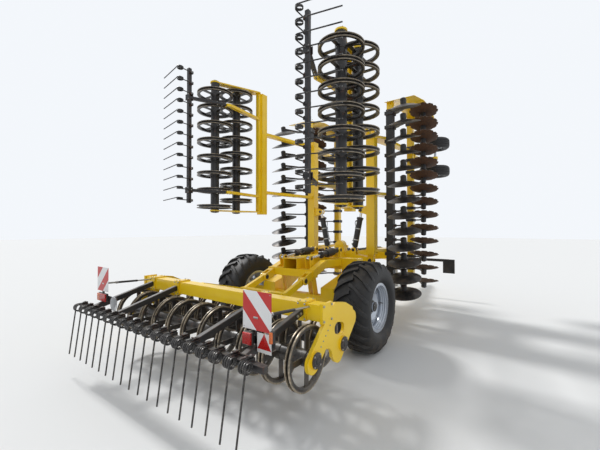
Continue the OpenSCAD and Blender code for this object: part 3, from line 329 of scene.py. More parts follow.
def painted(name, base, deeper, roughness, wear, dirt, dirt_height, rusting, coat=0.0, metallic=0.0):
    """Paint that varies a little, with rubbed edges, spots of rust and dust."""
    material, tree, shader = new_material(name)
    texture = place_group(tree, grain, Scale=140.0, Depth=0.25)
    fresh = blend_colour(tree, math_node(tree, "ADD", texture["Tone"], 0.5), deeper, base)
    rubbed = place_group(tree, edge_wear, Width=0.006, Amount=wear)["Mask"]
    spots = place_group(tree, rust, Amount=rusting, Scale=11.0)
    bare = math_node(tree, "MAXIMUM", rubbed, spots["Mask"], clamp=True)
    steel = blend_colour(tree, spots["Shade"], RUST_DARK, RUST_LIGHT)
    worn = blend_colour(tree, bare, fresh, steel)
    soil = place_group(tree, dust, Amount=dirt, Height=dirt_height)["Mask"]
    tree.links.new(blend_colour(tree, soil, worn, DUST_COLOUR), shader.inputs["Base Color"])
    dull = math_node(tree, "MAXIMUM", math_node(tree, "MULTIPLY", bare, 0.75), soil)
    tree.links.new(ramp(tree, dull, 0.0, 1.0, roughness, 0.92), shader.inputs["Roughness"])
    add_bump(tree, shader, math_node(tree, "ADD", texture["Height"], spots["Height"]), 0.25, 0.002)
    shader.inputs["Coat Weight"].default_value = coat
    shader.inputs["Metallic"].default_value = metallic
    return material


yellow_paint = painted("yellow_paint", colour(250, 211, 20), colour(243, 199, 14), roughness=0.34,
                       wear=0.35, dirt=0.28, dirt_height=0.7, rusting=0.05, coat=0.25)
black_paint = painted("black_paint", colour(40, 40, 42), colour(31, 31, 33), roughness=0.42,
                      wear=0.5, dirt=0.45, dirt_height=1.0, rusting=0.14)
rim_paint = painted("rim_paint", colour(202, 208, 216), colour(184, 191, 201), roughness=0.3,
                    wear=0.25, dirt=0.3, dirt_height=0.6, rusting=0.04, metallic=0.45)
print("paints: yellow, black, rim")

# %% [markdown]
# Every added piece is drawn in the millimetres of the machine's own drawing:
# x to the right, y forwards from the axle, z up from the ground.
# A wing is drawn level, as it works, and one matrix folds it up about its hinge.
# Another matrix mirrors it for the left side. This way each piece is drawn once.

# %% From the drawing to the scene
MM = 0.001
MID_Y = 1582
HINGE_X, HINGE_Z = 600, 1060
SIDES = {"left": -1, "right": 1}


def drawing(side=1):
    """From drawing millimetres to metres in the scene, mirrored for the left side."""
    return Matrix.Diagonal((side * MM, MM, MM, 1)) @ Matrix.Translation((0, -MID_Y, 0))


def folded(side):
    """The same for a piece of a wing: folded up about the hinge line."""
    return (drawing(side) @ Matrix.Translation((HINGE_X, 0, HINGE_Z))
            @ Matrix.Rotation(-math.pi / 2, 4, "Y") @ Matrix.Translation((-HINGE_X, 0, -HINGE_Z)))


def facing(start, way):
    """Matrix that stands a shape on a point, with its z axis along a direction."""
    return Matrix.Translation(start) @ Vector(way).to_track_quat("Z", "Y").to_matrix().to_4x4()


def pointing(start, end):
    """The same, with the z axis on the line from start to end."""
    return facing(start, Vector(end) - Vector(start))


print("hinge of the right wing in the scene:", drawing() @ Vector((HINGE_X, 0, HINGE_Z)))

# %% [markdown]
# Nearly all small parts of a machine are blocks, turned rings, flat plates and bent bars.
# Blender's own cubes and cylinders with modifiers could make them. A few functions that draw
# into one bmesh are quicker, because hundreds of bolts then end up in a single mesh,
# and each shape gets its broken edges as it is made.

# %% Blocks and turned shapes
def add_part(mesh, part, lines, edge, tint):
    """Breaks the edges of a shape that stands alone, and copies it into a mesh.

    Beside other shapes, Blender's bevel gives its faces in another order in every run.
    """
    if edge:
        bmesh.ops.bevel(part, geom=lines, offset=edge, segments=1, affect="EDGES", clamp_overlap=True)
    part.verts.index_update()
    copies = [mesh.verts.new(v.co) for v in part.verts]
    for face in part.faces:
        mesh.faces.new([copies[v.index] for v in face.verts]).material_index = tint
    part.free()


def add_block(mesh, centre, size, edge=2.0, turn=None, tint=0):
    """A block with broken edges. Tint is the number of its material."""
    place = Matrix.Translation(centre) @ (turn or Matrix.Identity(4)) @ Matrix.Diagonal((*size, 1))
    part = bmesh.new()
    bmesh.ops.create_cube(part, size=1.0, matrix=place)
    add_part(mesh, part, part.edges[:], edge, tint)


def add_lathe(mesh, rings, steps, place, tint=0, closed=False):
    """Turns radius and height pairs about the z axis of a place."""
    loops = []
    for radius, height in rings:
        if radius < 1e-6:
            loops.append([mesh.verts.new(place @ Vector((0, 0, height)))])
            continue
        loops.append([mesh.verts.new(place @ Vector((radius * math.cos(a), radius * math.sin(a), height)))
                      for a in (2 * math.pi * i / steps for i in range(steps))])
    pairs = list(zip(loops, loops[1:]))
    if closed:
        pairs.append((loops[-1], loops[0]))
    for low, high in pairs:
        for i in range(steps):
            j = (i + 1) % steps
            corners = [low[i % len(low)], low[j % len(low)], high[j % len(high)], high[i % len(high)]]
            unique = list(dict.fromkeys(corners))
            if len(unique) > 2:
                mesh.faces.new(unique).material_index = tint


def add_round(mesh, start, end, radius, steps=24, edge=0.0, tint=0):
    """A round bar between two points, its end edges broken when asked."""
    length = (Vector(end) - Vector(start)).length
    rings = [(0, 0), (radius, 0), (radius, length), (0, length)]
    if edge:
        rings = [(0, 0), (radius - edge, 0), (radius, edge),
                 (radius, length - edge), (radius - edge, length), (0, length)]
    add_lathe(mesh, rings, steps, pointing(start, end), tint)


print("shapes: block, lathe, round bar")

# %% Plates and bolts
def add_plate(mesh, outline, thickness, place, tint=0, edge=0.0):
    """A flat outline in x and y, made thick along z; its upper edge is broken when asked."""
    part = bmesh.new()
    rise = place.to_3x3() @ Vector((0, 0, thickness))
    low = [part.verts.new(place @ Vector((x, y, 0))) for x, y in outline]
    high = [part.verts.new(v.co + rise) for v in low]
    part.faces.new(low[::-1])
    top = part.faces.new(high)
    for i in range(len(outline)):
        part.faces.new((low[i - 1], low[i], high[i], high[i - 1]))
    add_part(mesh, part, top.edges[:], edge, tint)


def add_bolt(mesh, place, size, tint=0):
    """A washer and a hexagon head standing on the z axis of a place."""
    add_lathe(mesh, [(0, 0), (size, 0), (size, 0.18 * size), (0, 0.18 * size)], 16, place, tint)
    add_lathe(mesh, [(0.86 * size, 0.18 * size), (0.86 * size, 0.7 * size), (0.74 * size, 0.82 * size),
                     (0, 0.82 * size)], 6, place, tint)


print("shapes: plate, bolt")

# %% Bent bars
def add_bent_bar(mesh, points, radius, steps=8, tint=0):
    """A round bar swept along points, with no twist and with closed ends."""
    points = [Vector(p) for p in points]
    normal = None
    loops = []
    for i, p in enumerate(points):
        way = (points[min(i + 1, len(points) - 1)] - points[max(i - 1, 0)]).normalized()
        if normal is None:
            normal = way.orthogonal().normalized()
        normal = (normal - way * normal.dot(way)).normalized()
        side = way.cross(normal)
        loops.append([mesh.verts.new(p + radius * (math.cos(a) * normal + math.sin(a) * side))
                      for a in (2 * math.pi * k / steps for k in range(steps))])
    for low, high in zip(loops, loops[1:]):
        for k in range(steps):
            j = (k + 1) % steps
            mesh.faces.new((low[k], low[j], high[j], high[k])).material_index = tint
    mesh.faces.new(list(reversed(loops[0]))).material_index = tint
    mesh.faces.new(loops[-1]).material_index = tint


print("shapes: bent bar")

# %% [markdown]
# A finished mesh has to be told three things before it belongs to the machine:
# which body it moves with, which finish it takes, and which plain solids it stands for.
# Smooth shading hides the facets of pipes and tyres, and edges above a set angle stay sharp.

# %% From a mesh to a piece of the machine
SHARP_ABOVE = math.radians(35)


def finish_piece(mesh, name, body, place, materials, replaces=()):
    """Moves a mesh from the drawing to the scene and hands it over as a piece of a body."""
    bmesh.ops.transform(mesh, matrix=place, verts=mesh.verts)
    if place.determinant() < 0:
        bmesh.ops.reverse_faces(mesh, faces=mesh.faces)
    bmesh.ops.recalc_face_normals(mesh, faces=mesh.faces)
    data = bpy.data.meshes.new(name)
    mesh.to_mesh(data)
    mesh.free()
    for material in materials:
        data.materials.append(material)
    data.shade_smooth()
    data.set_sharp_from_angle(angle=SHARP_ABOVE)
    piece = bpy.data.objects.new(name, data)
    bpy.context.scene.collection.objects.link(piece)
    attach(piece, body)
    if replaces:
        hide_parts(*replaces)
    data.calc_loop_triangles()
    print(name, "triangles:", len(data.loop_triangles))


print("edges stay sharp above", round(math.degrees(SHARP_ABOVE)), "degrees")

# %% [markdown]
# Rubber looks right when three things differ over its surface: the side wall is smooth
# and nearly black, the tread is grey with dust, and the lugs' edges are a little lighter.
# One material does all three by mixing dust and wear over a dark base.

# %% Rubber
def rubber(name, base, dirt):
    """Dark rubber with scuffed edges and soil that settles low down and on top."""
    material, tree, shader = new_material(name)
    texture = place_group(tree, grain, Scale=320.0, Depth=0.6)
    tone = blend_colour(tree, math_node(tree, "ADD", texture["Tone"], 0.5), base,
                        tuple(min(1, c * 1.7) for c in base[:3]) + (1,))
    scuffs = place_group(tree, edge_wear, Width=0.008, Amount=0.45, Scale=30.0)["Mask"]
    scuffed = blend_colour(tree, scuffs, tone, colour(74, 72, 70))
    soil = place_group(tree, dust, Amount=dirt, Height=0.55, Scale=7.0)["Mask"]
    tree.links.new(blend_colour(tree, soil, scuffed, colour(112, 100, 84)), shader.inputs["Base Color"])
    tree.links.new(ramp(tree, soil, 0.0, 1.0, 0.58, 0.95), shader.inputs["Roughness"])
    add_bump(tree, shader, texture["Height"], 0.35, 0.0015)
    return material


tyre_rubber = rubber("tyre_rubber", colour(19, 19, 20), 0.5)
print("rubber ready")

# %% [markdown]
# A road tyre for soft ground has a round casing and bold lugs that alternate on both shoulders.
# A picture of tread could be used as bump, but the lugs break the outline, so they are real here.
# Each lug is swept from the middle of the tread over the shoulder and down the side wall.

# %% Course of a lug over the casing
TYRE_R, LUGS = 590.0, 20
# How far across a lug starts and spans, where its shoulder drops, and the radii of its foot.
LUG_START, LUG_SPAN, LUG_SHOULDER, LUG_FOOT = -14.0, 236.0, 0.72, (478.0, 470.0)
# Radius and distance across of the casing's outer side, from the bead to the middle, and of its inside.
CASING = [(295.5, -178), (300, -186), (326, -192), (338, -205), (362, -226), (400, -238), (455, -239),
          (500, -228), (530, -205), (548, -170), (555, -110), (556, 0)]
CASING_INSIDE = [(295.5, 140), (360, 150), (500, 190), (520, 100), (520, -100), (500, -190), (360, -150),
                 (295.5, -140)]


def casing_radius(x):
    """Radius of the casing's tread and shoulder at a distance from the tyre's middle."""
    shoulder = [(-c[1], c[0]) for c in CASING if c[0] >= 455]
    for (x1, r1), (x0, r0) in zip(shoulder, shoulder[1:]):
        if x0 <= abs(x) <= x1:
            return r0 + (r1 - r0) * (abs(x) - x0) / (x1 - x0)
    return shoulder[0][1]


def lug_course(sign):
    """Stations of a lug: distance across, angle round the tyre, radius of its top and base."""
    stations = []
    for k in range(9):
        t = k / 8
        x = LUG_START + t * LUG_SPAN
        top = TYRE_R - 6 * t * t - max(0, t - LUG_SHOULDER) ** 1.4 * 330
        lead = 0.30 * t ** 1.35
        stations.append((sign * x, lead, top, casing_radius(x) - 12))
    stations.append((sign * LUG_SPAN, 0.315, *LUG_FOOT))
    return stations


print("stations of a lug:", len(lug_course(1)))

# %% Road tyres
WHEEL_X, AXLE_Z = 1080.0, 590.0


def make_tyre(mesh, place):
    """A hollow casing with lugs that alternate on its two shoulders."""
    rings = CASING + [(r, -x) for r, x in reversed(CASING[:-1])]
    add_lathe(mesh, rings + CASING_INSIDE, 144, place, closed=True)
    for sign in (-1, 1):
        for i in range(LUGS):
            base = 2 * math.pi * (i + (0.5 if sign < 0 else 0)) / LUGS
            loops = []
            for k, (x, lead, top, low) in enumerate(lug_course(sign)):
                wide, slim = (31, 22) if k < 7 else (34, 24)
                loop = []
                for radius, offset in ((low, -wide), (top, -slim), (top, slim), (low, wide)):
                    a = base + lead + offset / TYRE_R
                    corner = Vector((radius * math.cos(a), radius * math.sin(a), x))
                    loop.append(mesh.verts.new(place @ corner))
                loops.append(loop)
            for one, two in zip(loops, loops[1:]):
                for c in range(3):
                    mesh.faces.new((one[c], one[c + 1], two[c + 1], two[c]))
            mesh.faces.new(loops[0])
            mesh.faces.new(loops[-1])


for name, side in SIDES.items():
    mesh = bmesh.new()
    make_tyre(mesh, facing((WHEEL_X, 0, AXLE_Z), (1, 0, 0)))
    finish_piece(mesh, "road_tyre_" + name, "wheel_" + name, drawing(side), [tyre_rubber],
                 replaces=["tyre_" + name])

# %% [markdown]
# The support wheels at the wings' ends run on plain ribbed tyres.
# Their tread is only grooves around, so one turned outline gives the whole tyre.

# %% Support tyres
SUPPORT_X, SUPPORT_Y, SUPPORT_Z, SUPPORT_GAP = 2715.0, 3420.0, 450.0, 600.0
SUPPORT_RINGS = [(146, -75), (158, -92), (185, -108), (225, -110), (252, -106), (275, -88), (282, -74),
                 (288, -58), (289, -44), (276, -41), (276, -34), (289.4, -31), (289.6, -6), (277, -3)]
for name, side in SIDES.items():
    mesh = bmesh.new()
    for shift in (-SUPPORT_GAP / 2, SUPPORT_GAP / 2):
        hub = facing((SUPPORT_X + shift, SUPPORT_Y, SUPPORT_Z), (1, 0, 0))
        add_lathe(mesh, SUPPORT_RINGS + [(r, -x) for r, x in reversed(SUPPORT_RINGS)], 96, hub, closed=True)
    finish_piece(mesh, "support_tread_" + name, "support_wheels_" + name, folded(side), [tyre_rubber],
                 replaces=["support_tyres_" + name])

# %% [markdown]
# Bare metal needs a high Metallic value, but rust and soil on it do not shine.
# So the masks that change the colour also pull Metallic down and Roughness up.
# Bright rubbed edges come from the same edge wear group as on the paint.

# %% Bare and rusty metal
def bare_metal(name, base, deeper, rusting, rust_scale, roughness, metallic, shine, dirt,
               dirt_height=1.0, rust_pair=(RUST_DARK, RUST_LIGHT)):
    """Steel or plating with rust, rubbed edges and soil, which all dull its shine but the edges."""
    material, tree, shader = new_material(name)
    texture = place_group(tree, grain, Scale=220.0, Depth=0.3)
    clean = blend_colour(tree, math_node(tree, "ADD", texture["Tone"], 0.5), deeper, base)
    spots = place_group(tree, rust, Amount=rusting, Scale=rust_scale)
    rusty = blend_colour(tree, spots["Shade"], *rust_pair)
    aged = blend_colour(tree, spots["Mask"], clean, rusty)
    rubbed = place_group(tree, edge_wear, Width=0.004, Amount=shine, Scale=26.0)["Mask"]
    edged = blend_colour(tree, rubbed, aged, colour(176, 172, 166))
    soil = place_group(tree, dust, Amount=dirt, Height=dirt_height, Scale=8.0)["Mask"]
    tree.links.new(blend_colour(tree, soil, edged, DUST_COLOUR), shader.inputs["Base Color"])
    dull = math_node(tree, "MAXIMUM", spots["Mask"], soil, clamp=True)
    tree.links.new(ramp(tree, dull, 0.0, 1.0, metallic, 0.0), shader.inputs["Metallic"])
    tree.links.new(ramp(tree, dull, 0.0, 1.0, roughness, 0.85), shader.inputs["Roughness"])
    add_bump(tree, shader, math_node(tree, "ADD", texture["Height"], spots["Height"]), 0.4, 0.002)
    return material


disc_steel = bare_metal("disc_steel", colour(74, 72, 72), colour(44, 43, 45), 0.34, 7.0,
                        roughness=0.38, metallic=0.6, shine=0.9, dirt=0.35, dirt_height=1.6,
                        rust_pair=(colour(56, 42, 34), colour(120, 90, 62)))
notched_steel = bare_metal("notched_steel", colour(56, 46, 40), colour(38, 31, 27), 0.62, 8.0,
                           roughness=0.5, metallic=0.4, shine=0.7, dirt=0.45, dirt_height=2.6,
                           rust_pair=(colour(46, 31, 24), colour(102, 70, 46)))
spring_steel = bare_metal("spring_steel", colour(58, 57, 58), colour(38, 38, 40), 0.16, 20.0,
                          roughness=0.34, metallic=0.6, shine=0.6, dirt=0.2)
zinc = bare_metal("zinc", colour(190, 190, 186), colour(150, 150, 148), 0.14, 30.0,
                  roughness=0.3, metallic=0.9, shine=0.3, dirt=0.25)
hard_chrome = bare_metal("hard_chrome", colour(226, 228, 230), colour(206, 208, 212), 0.03, 12.0,
                         roughness=0.12, metallic=1.0, shine=0.1, dirt=0.1)
print("metals: disc, notched, spring, zinc, chrome")

# %% [markdown]
# A harrow is a square bar with spring tines clamped on it.
# Each tine is one round wire: a short end under a clamp, two or three turns, and a long straight leg.
# A curve object with a bevel could draw the wire. A swept mesh is used so that
# many tines can be joined in one piece with the bar that carries them.

# %% One spring tine
WIRE_R, HARROW_BAR = 7.0, 50.0
# How far a coil's middle is behind and above its bar, its radius and half its width,
# the angle where it starts, its turns, and where the tip ends, all seen from the bar.
WING_COIL = (-146.0, 4.0, 37.0, 15.0, 90, 2.25, (0.0, -105.0, -460.0))
MIDDLE_COIL = (-74.0, 12.0, 37.0, 33.0, 90, 3.25, (0.0, -160.0, -490.0))


def tine_wire(x, y, z, coil):
    """Points of a tine's wire for a bar whose middle is at x, y, z."""
    coil_y, coil_z, radius, shift, first, turns, tip = coil
    top = z + coil_z + radius * math.sin(math.radians(first))
    points = [Vector((x - shift, y + 34, top)), Vector((x - shift, y - 20, top))]
    steps = int(16 * turns)
    for k in range(steps + 1):
        a = math.radians(first + 360 * turns * k / steps)
        points.append(Vector((x + shift * (2 * k / steps - 1), y + coil_y + radius * math.cos(a),
                              z + coil_z + radius * math.sin(a))))
    end = Vector((x, y, z)) + Vector(tip)
    return points + [points[-1].lerp(end, 0.2), end]


def add_tine(mesh, x, y, z, coil):
    """The wire, the clamp plates that hold its short end on the bar, and their bolt."""
    wire_points = tine_wire(x, y, z, coil)
    add_bent_bar(mesh, wire_points, WIRE_R, steps=8, tint=1)
    left, wire_z = wire_points[0].x, wire_points[0].z
    low, high = z + HARROW_BAR / 2 - 1, wire_z - WIRE_R + 1
    add_block(mesh, (left, y + 2, (low + high) / 2), (34, 58, high - low), edge=1.5)
    add_block(mesh, (left, y + 8, wire_z + 8), (34, 46, 8), edge=1.5)
    add_block(mesh, (left, y + HARROW_BAR / 2 + 4, z + 12), (34, 10, 62), edge=1.5)
    add_bolt(mesh, Matrix.Translation((left + 1, y + 4, wire_z + 12)), 9.5, tint=2)


def add_square_tube(mesh, x0, x1, y, z, size):
    """A square tube along x with rounded corners and a dark plug in each end."""
    add_block(mesh, ((x0 + x1) / 2, y, z), (x1 - x0 - 4, size, size), edge=size * 0.08)
    for x in (x0 + 1, x1 - 1):
        add_block(mesh, (x, y, z), (2, size * 0.84, size * 0.84), edge=0.8, tint=3)


plastic_black = painted("plastic_black", colour(34, 34, 36), colour(28, 28, 30), roughness=0.5,
                        wear=0.1, dirt=0.5, dirt_height=1.2, rusting=0.0)
HARROW_FINISH = [black_paint, spring_steel, zinc, plastic_black]
print("wire points in a tine:", len(tine_wire(0, 0, 0, WING_COIL)))

# %% [markdown]
# Two box arms join each wing's harrow to its roller carrier, bolted so that the tines' depth can be set.
# The arms' yellow upper ends are in the finished solids. The black lower ends are drawn here,
# on the same straight line, so that the joint between the two colours falls in the right place.

# %% Arms of the wing harrows
WING_HARROW_X, WING_HARROW_Y, WING_HARROW_Z = 1570.0, -1280.0, 650.0
WING_TINES, TINE_PITCH, WING_ARMS = 13, 150.0, (1700.0, 3005.0)
ARM_BEND, ARM_JOINT_Y, ARM_WIDTH = Vector((0, -745, 890)), -800.0, 40
ARM_HARROW = Vector((0, WING_HARROW_Y, WING_HARROW_Z))


def on_arm(y):
    """The point of an arm's middle line at a place along the machine."""
    return ARM_BEND.lerp(ARM_HARROW, (ARM_BEND.y - y) / (ARM_BEND.y - WING_HARROW_Y))


def add_arm_bolts(mesh, x, spot, tint):
    """A bolt on each side of an arm."""
    for out in (-1, 1):
        add_bolt(mesh, facing((x + ARM_WIDTH / 2 * out, spot.y, spot.z), (out, 0, 0)), 11, tint=tint)


def add_flat_arm(mesh, x, start, end, width, height):
    """A box arm between two points of an upright plane."""
    way = end - start
    turn = Matrix.Rotation(math.atan2(way.z, way.y), 4, "X")
    middle = (start + end) / 2
    add_block(mesh, (x, middle.y, middle.z), (width, way.length, height), edge=4.0, turn=turn)


ARM_JOINT = on_arm(ARM_JOINT_Y)
print("an arm's black end starts at", ARM_JOINT)

# %% Wing harrows
for name, side in SIDES.items():
    mesh = bmesh.new()
    add_square_tube(mesh, WING_HARROW_X - 50, WING_HARROW_X + (WING_TINES - 1) * TINE_PITCH + 50,
                    WING_HARROW_Y, WING_HARROW_Z, HARROW_BAR)
    for i in range(WING_TINES):
        add_tine(mesh, WING_HARROW_X + i * TINE_PITCH, WING_HARROW_Y, WING_HARROW_Z, WING_COIL)
    for x in WING_ARMS:
        add_flat_arm(mesh, x, ARM_JOINT, ARM_HARROW, ARM_WIDTH, 52)
        for y_off in (-30, 30):
            add_block(mesh, (x, WING_HARROW_Y + y_off, WING_HARROW_Z), (84, 10, 84), edge=2)
            for dx, dz in ((-30, -32), (-30, 32), (30, -32), (30, 32)):
                start = (x + dx, WING_HARROW_Y + y_off, WING_HARROW_Z + dz)
                add_bolt(mesh, facing(start, (0, y_off, 0)) @ Matrix.Translation((0, 0, 5)), 7, tint=2)
        for t in (0.12, 0.24):
            add_arm_bolts(mesh, x, ARM_JOINT.lerp(ARM_HARROW, t), tint=2)
    finish_piece(mesh, "wing_tines_" + name, "wing_" + name, folded(side), HARROW_FINISH,
                 replaces=["wing_harrow_" + name])

# %% [markdown]
# The middle harrow also carries the lighting: two boards on posts, thin straps for the lamps,
# and a threaded spindle on each side that sets how deep the tines work.
# A screw's thread could be a spiral. Rings set close together look the same from a step away,
# and take no more than a loop.

# %% Spindles and posts of the middle harrow
HARROW_Y, HARROW_Z, TINES = -2420.0, 700.0, 19
BOARD_X, BOARD_Y, BOARD_Z, BOARD_W = 1245.0, -2280.0, 880.0, 282.0
POST_LOW, POST_TOP = 730.0, BOARD_Z + BOARD_W - 40
THREADS, THREAD_PITCH = 34, 3.6


def add_spindle(mesh, side):
    """A rod with a threaded lower end, two nuts and a sleeve, from a board's post to the carrier."""
    low = Vector((side * (BOARD_X - 10), BOARD_Y + 6, BOARD_Z + 90))
    high = Vector((side * (BOARD_X + 45), -1672, 935))
    way = (high - low).normalized()
    add_round(mesh, low, high, 9, 16, tint=2)
    add_round(mesh, low + way * 150, high - way * 190, 13, 20, edge=2)
    for k in range(THREADS):
        start = low + way * (20 + k * THREAD_PITCH)
        add_round(mesh, start, start + way * (THREAD_PITCH / 2), 10.6, 12, tint=2)
    for t in (138, 152):
        add_round(mesh, low + way * t, low + way * (t + 11), 17, 6, edge=1.5, tint=2)
    add_round(mesh, low + Vector((-22, 0, 0)), low + Vector((22, 0, 0)), 12, 16, edge=1, tint=2)


print("a post's height in millimetres:", POST_TOP - POST_LOW)

# %% Middle harrow
HARROW_ARMS = (675.0, 1215.0)
ARM_START, ARM_END = Vector((0, -1685.3, 890)), Vector((0, -2420, 700))
LAMP_STRAPS = ((-1400, -900), (1105, 1418))
mesh = bmesh.new()
half_row = (TINES - 1) * TINE_PITCH / 2
add_square_tube(mesh, -half_row - 110, half_row + 110, HARROW_Y, HARROW_Z, HARROW_BAR)
for i in range(TINES):
    add_tine(mesh, i * TINE_PITCH - half_row, HARROW_Y, HARROW_Z, MIDDLE_COIL)
for side in (-1, 1):
    for x in HARROW_ARMS:
        add_flat_arm(mesh, side * x, ARM_START, ARM_END + Vector((0, 30, 8)), 50, 60)
        for t in (0.06, 0.12):
            spot = ARM_START.lerp(ARM_END, t)
            add_bolt(mesh, facing((side * (x + 25), spot.y, spot.z), (side, 0, 0)), 13, tint=2)
        add_block(mesh, (side * x, HARROW_Y + 31, HARROW_Z + 2), (96, 12, 78), edge=2)
        for dx in (-38, 38):
            rod_x, rod_z = side * x + dx, HARROW_Z + 31
            add_round(mesh, (rod_x, HARROW_Y - 32, rod_z), (rod_x, HARROW_Y + 44, rod_z), 6, 12, tint=2)
    add_block(mesh, (side * BOARD_X, BOARD_Y + 6, (POST_LOW + POST_TOP) / 2),
              (40, 12, POST_TOP - POST_LOW), edge=1.5)
    add_spindle(mesh, side)
for x0, x1 in LAMP_STRAPS:
    add_block(mesh, ((x0 + x1) / 2, BOARD_Y + 3, 810), (x1 - x0, 6, 60), edge=1.5)
    for x in (x0 + 18, x1 - 18):
        add_bolt(mesh, facing((x, BOARD_Y, 826), (0, -1, 0)), 7, tint=2)
finish_piece(mesh, "middle_tines", "carrier", drawing(), HARROW_FINISH,
             replaces=["centre_harrow"])

# %% [markdown]
# A warning board is a thin sheet with slanting stripes of reflecting film.
# The stripes are a pattern in the material: the place across plus the place upwards,
# divided by the stripe's width, is even on white and odd on red.
# Taking the distance from the middle mirrors the stripes on the other side of the machine.

# %% Board with slanting stripes
STRIPE = 0.141
BOARD_INNER_X = (BOARD_X - BOARD_W / 2) * MM
BOARD_TOP_Z = (BOARD_Z + BOARD_W) * MM
board_film, tree, film = new_material("board_film")
spot = tree.nodes.new("ShaderNodeSeparateXYZ")
tree.links.new(own_place(tree), spot.inputs[0])
across = math_node(tree, "SUBTRACT", math_node(tree, "ABSOLUTE", spot.outputs["X"]), BOARD_INNER_X)
slanted = math_node(tree, "ADD", across, math_node(tree, "SUBTRACT", spot.outputs["Z"], BOARD_TOP_Z))
turns = math_node(tree, "FRACT", math_node(tree, "DIVIDE", slanted, 2 * STRIPE))
is_red = math_node(tree, "GREATER_THAN", turns, 0.5)
cells = small_cells(tree, 420.0)
sparkle = ramp(tree, cells, 0.1, 0.7)
red_film = blend_colour(tree, sparkle, colour(206, 30, 26), colour(186, 22, 22))
white_film = blend_colour(tree, sparkle, colour(236, 236, 234), colour(222, 223, 224))
striped = blend_colour(tree, is_red, white_film, red_film)
soil = place_group(tree, dust, Amount=0.35, Height=1.5, Scale=6.0)["Mask"]
tree.links.new(blend_colour(tree, soil, striped, DUST_COLOUR), film.inputs["Base Color"])
tree.links.new(ramp(tree, soil, 0.0, 1.0, 0.28, 0.8), film.inputs["Roughness"])
add_bump(tree, film, cells, 0.12, 0.0005)
print("stripe across, metres:", STRIPE)

# %% Warning boards
RIVET_HEAD = [(0, 0), (5, 0), (5, 0.3), (3.5, 0.6), (0, 0.6)]
mesh = bmesh.new()
for side in (-1, 1):
    add_block(mesh, (side * BOARD_X, BOARD_Y - 1.6, BOARD_Z + BOARD_W / 2), (BOARD_W, 2.6, BOARD_W), edge=0.8)
    for dx in (-127, 127):
        for dz in (0.05, 0.95):
            start = (side * BOARD_X + dx, BOARD_Y - 2.4, BOARD_Z + BOARD_W * dz)
            add_lathe(mesh, RIVET_HEAD, 12, facing(start, (0, -1, 0)), tint=1)
finish_piece(mesh, "striped_boards", "carrier", drawing(), [board_film, zinc],
             replaces=["warning_boards"])

# %% [markdown]
# A lamp is a dark housing with a coloured lens in front of it.
# A ribbed lens catches light in thin lines, so the ribs are modelled and the plastic is glossy
# under a thin clear coat. Real glass nodes would cost time and show little more by day.

# %% Lenses
def lens_plastic(name, base, deeper):
    """Glossy coloured plastic with small facets behind its face."""
    material, tree, shader = new_material(name)
    facets = small_cells(tree, 160.0)
    shade = blend_colour(tree, ramp(tree, facets, 0.05, 0.6), base, deeper)
    soil = place_group(tree, dust, Amount=0.25, Height=1.3, Scale=12.0)["Mask"]
    tree.links.new(blend_colour(tree, soil, shade, DUST_COLOUR), shader.inputs["Base Color"])
    tree.links.new(ramp(tree, soil, 0.0, 1.0, 0.12, 0.7), shader.inputs["Roughness"])
    add_bump(tree, shader, facets, 0.3, 0.001)
    shader.inputs["Coat Weight"].default_value = 0.5
    return material


red_lens = lens_plastic("red_lens", colour(230, 38, 26), colour(176, 16, 16))
amber_lens = lens_plastic("amber_lens", colour(238, 128, 20), colour(206, 92, 10))
clear_lens = lens_plastic("clear_lens", colour(226, 228, 228), colour(196, 198, 200))

# %% Lamps
# Each lamp's middle, width and height, and its lenses from left to right: 1 is red, 2 is amber.
LAMPS = [(1175, 817, 90, 94, (1,)), (-1205, 817, 210, 94, (2, 1, 1)), (1405, 863, 32, 86, (2,))]
RIB_PITCH = 6
mesh = bmesh.new()
for x, z, width, height, lenses in LAMPS:
    add_block(mesh, (x, BOARD_Y - 12, z), (width, 24, height), edge=4)
    part = (width - 6) / len(lenses)
    for k, tint in enumerate(lenses):
        middle = x - (width - 6) / 2 + part * (k + 0.5)
        add_block(mesh, (middle, BOARD_Y - 31, z), (part - 1.5, 18, height - 8), edge=3.5, tint=tint)
        for r in range(int((height - 16) / RIB_PITCH)):
            rib_z = z - height / 2 + 11 + r * RIB_PITCH
            add_block(mesh, (middle, BOARD_Y - 40.6, rib_z), (part - 8, 2.4, 2.4), edge=0.8, tint=tint)
finish_piece(mesh, "rear_lamps", "carrier", drawing(), [plastic_black, red_lens, amber_lens],
             replaces=["tail_lamps"])

# %% [markdown]
# Reflectors are moulded plates: a red triangle and a white disc, each with a raised rim.
# The triangle is an outline made thick, one on top of the other, and the disc is turned
# like a plate on a potter's wheel. They look backwards, so both are laid flat and then stood up.

# %% Reflectors
TRIANGLE_AT, ROUND_AT, TRIANGLE_DROP = (1318, 800), (-970, 765), 6
DISC_RINGS = [(0, 0), (80, 0), (80, 4.2), (78, 5.6), (74, 5.6), (72, 4.4), (0, 5.2)]
plate_white = painted("plate_white", colour(232, 232, 230), colour(216, 216, 214), roughness=0.4, wear=0.2,
                      dirt=0.4, dirt_height=1.5, rusting=0.05)
mesh = bmesh.new()
front = Matrix.Translation((TRIANGLE_AT[0], BOARD_Y, TRIANGLE_AT[1])) @ Matrix.Rotation(math.pi / 2, 4, "X")
add_block(mesh, (TRIANGLE_AT[0], BOARD_Y - 1.5, TRIANGLE_AT[1]), (136, 3, 140), edge=1, tint=0)


def triangle(radius):
    """Three corners round a point, one of them on top."""
    angles = [math.radians(a) for a in (90, 210, 330)]
    return [(radius * math.cos(a), radius * math.sin(a) - TRIANGLE_DROP) for a in angles]


